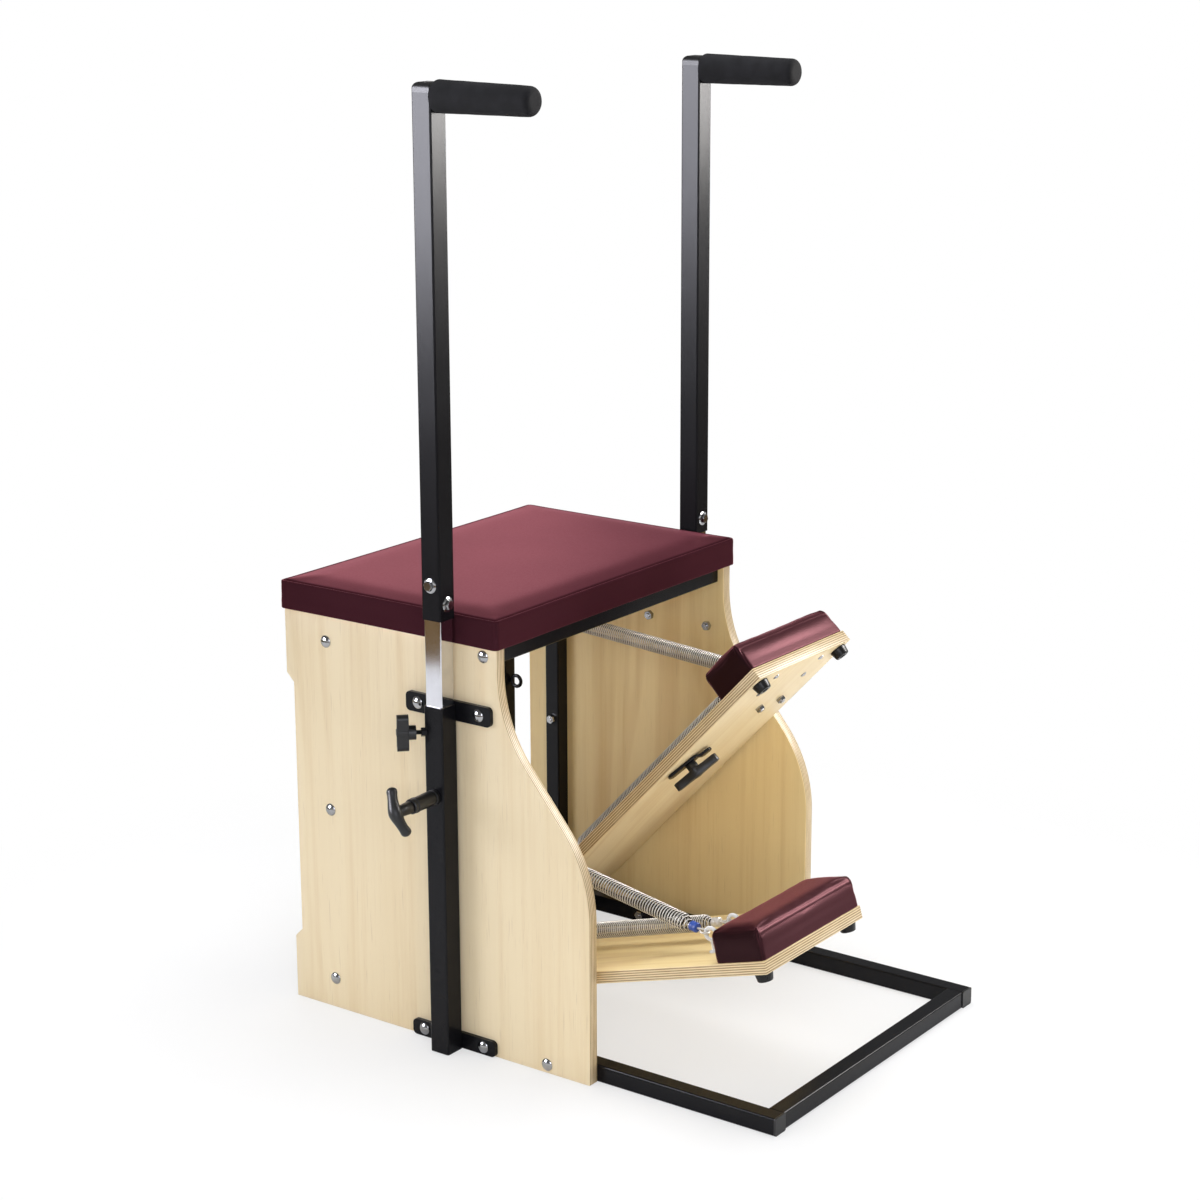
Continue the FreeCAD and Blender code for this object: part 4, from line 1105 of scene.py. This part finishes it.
def mirrored(sign, row):
    return Vector((sign * row[0], row[1], row[2]))


def boltSpots(sign):
    posts, rail, bar = boltPlan["post"], boltPlan["rail"], boltPlan["bar"]
    top, low = boltPlan["bracketTop"], boltPlan["bracketLow"]
    panelHeads = [(boltPlan["panelFace"], *spot) for spot in posts + [rail, bar]]
    panelNuts = [(boltPlan["barInside"], *spot) for spot in posts + [bar]]
    bracketHeads, bracketNuts = [], []
    for y in boltPlan["bracketYs"]:
        bracketHeads += [(boltPlan["bracketFace"], y, z) for z in (top, low)]
        bracketNuts += [(boltPlan["panelInside"], y, top), (boltPlan["barInside"], y, low)]

    def spots(rows, way):
        return [(mirrored(sign, row) * mm, Vector((sign * way, 0, 0))) for row in rows]

    return spots(panelHeads, 1), spots(panelNuts, -1), spots(bracketHeads, 1), spots(bracketNuts, -1)


def underPedal(sign, rows):
    return [(onPedal(sign, x, reach, pedal["boardLow"]), Vector((0, 0, -1))) for x, reach in rows]


def eyeMesh(sign, x, reach):
    # eye bolt standing on the board, in the pedal's flat frame
    ring, wire = hardware["eyeRing"], hardware["eyeWire"]
    around, across = hardware["eyeGrid"]
    bm = bmesh.new()
    loops = []
    for k in range(around):
        turn = 2 * math.pi * k / around
        loops.append([bm.verts.new((wire * math.sin(t), (ring + wire * math.cos(t)) * math.cos(turn),
                                    (ring + wire * math.cos(t)) * math.sin(turn)))
                      for t in (2 * math.pi * n / across for n in range(across))])
    for near, far in zip(loops, loops[1:] + loops[:1]):
        for n in range(across):
            following = (n + 1) % across
            bm.faces.new([near[n], far[n], far[following], near[following]])
    parts = [meshFrom(bm), turned(hardware["eyeFoot"], segments=24)]
    return joinMeshes(parts, Matrix.Translation(onPedal(sign, x, reach, pedal["eyeRise"])))


def addHardware():
    zinc = finishes["zinc"]
    domed = domeHead(hardware["dome"], hardware["domeHeight"])
    nut = hexHead(hardware["boltEnd"], segments=20)
    hexBolt = hexHead(hardware["flange"], segments=32)
    screw = domeHead(hardware["screw"], hardware["screwHeight"])
    panelParts, bracketParts = [], []
    for side, sign in sides:
        heads, nuts, plateHeads, plateNuts = boltSpots(sign)
        panelParts += [fasteners(domed, heads, zinc), fasteners(nut, nuts, zinc, seed=7 + sign)]
        bracketParts += [fasteners(domed, plateHeads, zinc), fasteners(nut, plateNuts, zinc, seed=11 + sign)]
        spots = [(mirrored(sign, place) * mm, mirrored(sign, way)) for place, way in boltPlan["mast"]]
        mesh = fasteners(hexBolt, spots, zinc, seed=3 + sign)
        newPiece(side + "MastBolts", mesh, side + "_handle", side + "_mast_bolts")
        mesh = joinMeshes([fasteners(screw, underPedal(sign, pedal["screws"]), zinc)], pedalPlace(side))
        newPiece(side + "PadScrews", mesh, side + "_pedal", side + "_pedal_screws")
        parts = [fasteners(nut, underPedal(sign, pedal["eyes"]), zinc, seed=19 + sign)]
        parts += [eyeMesh(sign, x, reach) for x, reach in pedal["eyes"]]
        mesh = joinMeshes(parts, pedalPlace(side))
        newPiece(side + "PedalEyes", mesh, side + "_pedal", side + "_pedal_eyes")
    newPiece("panelBolts", joinMeshes(panelParts), "frame", "panel_bolts")
    newPiece("bracketBolts", joinMeshes(bracketParts), "frame", "bracket_bolts")


addHardware()
print("hardware done")

# handles: foam grips, T pins, sleeves, wing knobs
handle = metres({"x": 307.875, "y": 108.8, "front": 92.925, "gripZ": 1330, "pinZ": 382.5})
foamGrip = {
    "length": 157, "thin": 19.5, "bend": 9, "rows": 12, "uneven": 0.25 * mm, "waves": 70,
    # radius and height in millimetres at the mast and at the tip
    "start": ((0, 0.2), (12.6, 0.2), (19.9, 0.2), (21.1, 0.7), (21.5, 2.2)),
    "tip": ((5.85, 156.9), (0, 156.8)),
}
pullPin = {
    **metres({"teeX": 404.75, "neckX": 375.75, "noseX": 322.475}), "tilt": 24,
    # half of the T bar from its ball end to its middle: along, bent inward, radius
    "tee": ((34.5, 7.2, 2.4), (33.4, 6.9, 5.4), (31, 6.2, 7.2), (28, 5.2, 7.7), (23.5, 3.4, 6.9),
            (15, 0.6, 7.3), (6, -1.5, 9.0), (0, -2.0, 9.8)),
    "neck": ((0, 0.6), (7.4, 0.6), (8.4, 1.4), (8.8, 4), (8.2, 15.95), (7.6, 24.65), (6, 29), (0, 29)),
    "stem": ((0, 0), (4.2, 0), (4.9, 0.9), (4.9, 53.275), (0, 53.275)),
}
sleeve = {
    "x": 323.75 * mm,
    "profile": ((5.2, 0.1), (10.56, 0.1), (11, 0.8), (11, 5.4), (10.56, 6), (9.46, 6.2), (9.46, 7.6),
                (10.45, 8), (10.78, 9), (10.23, 39), (10.23, 40), (11, 40.8), (11, 43.8), (9.9, 44.6),
                (9.9, 45.4), (10.67, 46), (10.67, 50.4), (9.68, 51.6), (5.2, 51.6), (5.2, 0.1)),
}
wingKnob = metres({"thickness": 16, "width": 14, "ease": 1.2, "band": 8.5, "bandProud": 0.9, "bandEase": 0.8})


def addGrip(side, sign):
    length, thin, bend, count = (foamGrip[key] for key in ("length", "thin", "bend", "rows"))
    thick, low = foamGrip["start"][-1]
    profile = list(foamGrip["start"])
    for row in range(1, count):
        part = row / count
        profile.append((thick + (thin - thick) * part, low + (length - bend - low) * part))
    profile += arcProfile((thin - bend, length - bend), bend, 0, 90, 8)
    mesh = turned(profile + list(foamGrip["tip"]), segments=56)
    for vertex in mesh.vertices:
        wave = noise.noise(Vector(vertex.co) * foamGrip["waves"] + Vector((0, 0, 3.0 * sign)))
        vertex.co += vertex.normal * foamGrip["uneven"] * wave
    mesh.transform(aimed((sign * handle["x"], handle["front"], handle["gripZ"]), (0, -1, 0)))
    grip = newPiece(side + "Grip", mesh, side + "_handle", side + "_grip", smooth=50)


def onPin(sign, x):
    return aimed((sign * x, handle["y"], handle["pinZ"]), (sign, 0, 0))


def addPin(side, sign):
    outward = Vector((sign, 0, 0))
    centre = Vector((sign * pullPin["teeX"], handle["y"], handle["pinZ"]))
    tilt = math.radians(pullPin["tilt"])
    bar = Vector((0, math.sin(tilt), math.cos(tilt)))
    half = pullPin["tee"]
    rows = [(-along, inward, radius) for along, inward, radius in half] + list(reversed(half))[1:]
    path = [centre + bar * along * mm - outward * inward * mm for along, inward, radius in rows]
    tee = tubeMesh(path, [radius * mm for along, inward, radius in rows], sides=20, resolution=4)
    neck = (turned(pullPin["neck"], segments=32), onPin(sign, pullPin["neckX"]))
    stem = (turned(pullPin["stem"], segments=24), onPin(sign, pullPin["noseX"]))
    newPiece(side + "PullPin", joinMeshes([tee, neck, stem]), side + "_pin", side + "_pull_pin", smooth=50)


def bandMesh(side, sign):
    # raised band round the middle of the clamp's wing, which stands out at 45 degrees
    low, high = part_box(side + "_clamp_knob")
    outer = max(abs(low.x), abs(high.x)) - handle["x"] - wingKnob["width"] / 2 * math.sqrt(0.5)
    middle = outer - wingKnob["thickness"] / 2 * math.sqrt(0.5)
    proud = 2 * wingKnob["bandProud"]
    size = (wingKnob["thickness"] + proud, wingKnob["width"] + proud, wingKnob["band"])
    bm = bmesh.new()
    bmesh.ops.create_cube(bm, size=1.0, matrix=Matrix.Diagonal((*size, 1.0)))
    bmesh.ops.bevel(bm, geom=bm.edges[:], offset=wingKnob["bandEase"], segments=3, profile=0.5,
                    affect="EDGES")
    mesh = meshFrom(bm)
    spot = Matrix.Translation((sign * (handle["x"] + middle), handle["y"] + middle, (low.z + high.z) / 2))
    mesh.transform(spot @ Matrix.Rotation(math.radians(45 * sign), 4, "Z"))
    return mesh


def addHandles():
    sleeves = []
    for side, sign in sides:
        addGrip(side, sign)
        addPin(side, sign)
        knob = softEdges(side + "_clamp_knob", wingKnob["ease"], segments=3, shortest=wingKnob["ease"])
        mesh = joinMeshes([knob, bandMesh(side, sign)])
        newPiece(side + "ClampKnob", mesh, side + "_clamp", side + "_clamp_knob")
        sleeves.append((turned(sleeve["profile"], segments=36), onPin(sign, sleeve["x"])))
    newPiece("pinSleeves", joinMeshes(sleeves), "frame", "pin_barrels")


addHandles()
print("handles done")

# turning plate and wing knob under the raised pedal
link = {
    "x": 60, "reach": 455, "turn": 30, "rows": 24, "endLeast": 0.35, "narrow": 0.78, "easeShape": 0.3,
    **metres({"plateTop": 2.7, "plateLow": -1.3, "wingTop": -11.6, "wingLow": -23.6, "length": 76,
              "plateWidth": 24, "plateEase": 0.7, "step": 3.2, "stepFrom": 14, "stepOver": 7, "hubWidth": 19,
              "endWidth": 11.5, "bulge": 13, "wingEase": 1.4, "endRound": 5, "headRise": 21.3, "head": 9,
              "headHeight": 5}),
    # radius and height in millimetres
    "hub": ((0, -24.8), (5, -24.6), (8, -23.8), (9.3, -22.2), (9.8, -11.6), (8.6, -10.6), (8.4, -2.4),
            (7.8, -1.6), (0, -1.6)),
    "stud": ((0, -2.6), (4, -2.6), (4, 21.8), (0, 21.8)),
}


def barMesh(widthAt, low, high, bend, ease):
    # flat bar along X with round ends: outline from widths, top and bottom eased
    half, rows, tip = link["length"] / 2, link["rows"], link["endRound"]
    outline = []
    for k in range(rows + 1):
        x = -half * math.cos(math.pi * k / rows)
        end = 1 - max(0.0, (abs(x) - (half - tip)) / tip) ** 3
        outline.append((x, widthAt(x) / 2 * max(end, link["endLeast"])))
    ring = [(x, w) for x, w in outline] + [(x, -w) for x, w in reversed(outline)]
    bm = bmesh.new()
    loops = []
    bit = ease * link["easeShape"]
    for inset, height in ((ease, low), (bit, low + bit), (0, low + ease), (0, high - ease),
                          (bit, high - bit), (ease, high)):
        loop = []
        for x, y in ring:
            scale = 1 - inset / half
            loop.append(bm.verts.new((x * scale, y - math.copysign(min(inset, abs(y)), y), height + bend(x))))
        loops.append(loop)
    bridge(bm, loops)
    for loop in (loops[0], loops[-1]):
        for k in range(rows):
            bm.faces.new([loop[k], loop[k + 1], loop[-2 - k], loop[-1 - k]])
    return meshFrom(bm)


def addLink():
    turn = Matrix.Rotation(math.radians(link["turn"] - 90), 4, "Z")
    spot = Matrix.Translation(onPedal(1, link["x"], link["reach"], 0.0))
    place = pedalPlace("right") @ spot @ turn

    def joggle(x):
        # the outer end of the plate is pressed down a step
        part = max(0.0, min(1.0, (x - link["stepFrom"]) / link["stepOver"]))
        return -link["step"] * part * part * (3 - 2 * part)

    def plateWidth(x):
        return link["plateWidth"] * (1.0 if x < link["stepFrom"] else link["narrow"])

    def wingWidth(x):
        bulge = math.exp(-(x / link["bulge"]) ** 2)
        return link["endWidth"] + (link["hubWidth"] - link["endWidth"]) * bulge

    plate = barMesh(plateWidth, link["plateLow"], link["plateTop"], joggle, link["plateEase"])
    newPiece("linkPlate", joinMeshes([plate], place), "link_plate", "link_plate", smooth=40)
    wing = barMesh(wingWidth, link["wingLow"], link["wingTop"], lambda x: 0.0, link["wingEase"])
    hub = turned(link["hub"], segments=36)
    stud = turned(link["stud"], segments=20)
    head = domeHead(link["head"], link["headHeight"])
    head.transform(Matrix.Translation((0, 0, link["headRise"])))
    for part, finish in ((wing, "black_plastic"), (hub, "black_plastic"), (stud, "zinc"), (head, "zinc")):
        part.materials.append(finishes[finish])
    newPiece("linkKnob", joinMeshes([wing, hub, stud, head], place), "link_knob", "link_knob", smooth=40)


addLink()
print("link done")

# rubber feet under the pedals: radius and height in millimetres
foot = {
    "profile": ((0, 0), (12.25, 0), (12.5, 0.5), (12.5, 2.4), (12.3125, 3), (10.8, 11.4), (10.2, 12.5),
                (9.2, 13), (5.2, 13), (4.6, 12.4), (4.4, 9), (0, 9)),
}


def addFeet():
    shape = turned(foot["profile"], segments=36)
    for side, sign in sides:
        spots = underPedal(sign, pedal["feet"])
        mesh = joinMeshes([fasteners(shape, spots, finishes["rubber"])], pedalPlace(side))
        newPiece(side + "PedalFeet", mesh, side + "_pedal", side + "_pedal_feet")


addFeet()
print("feet done")
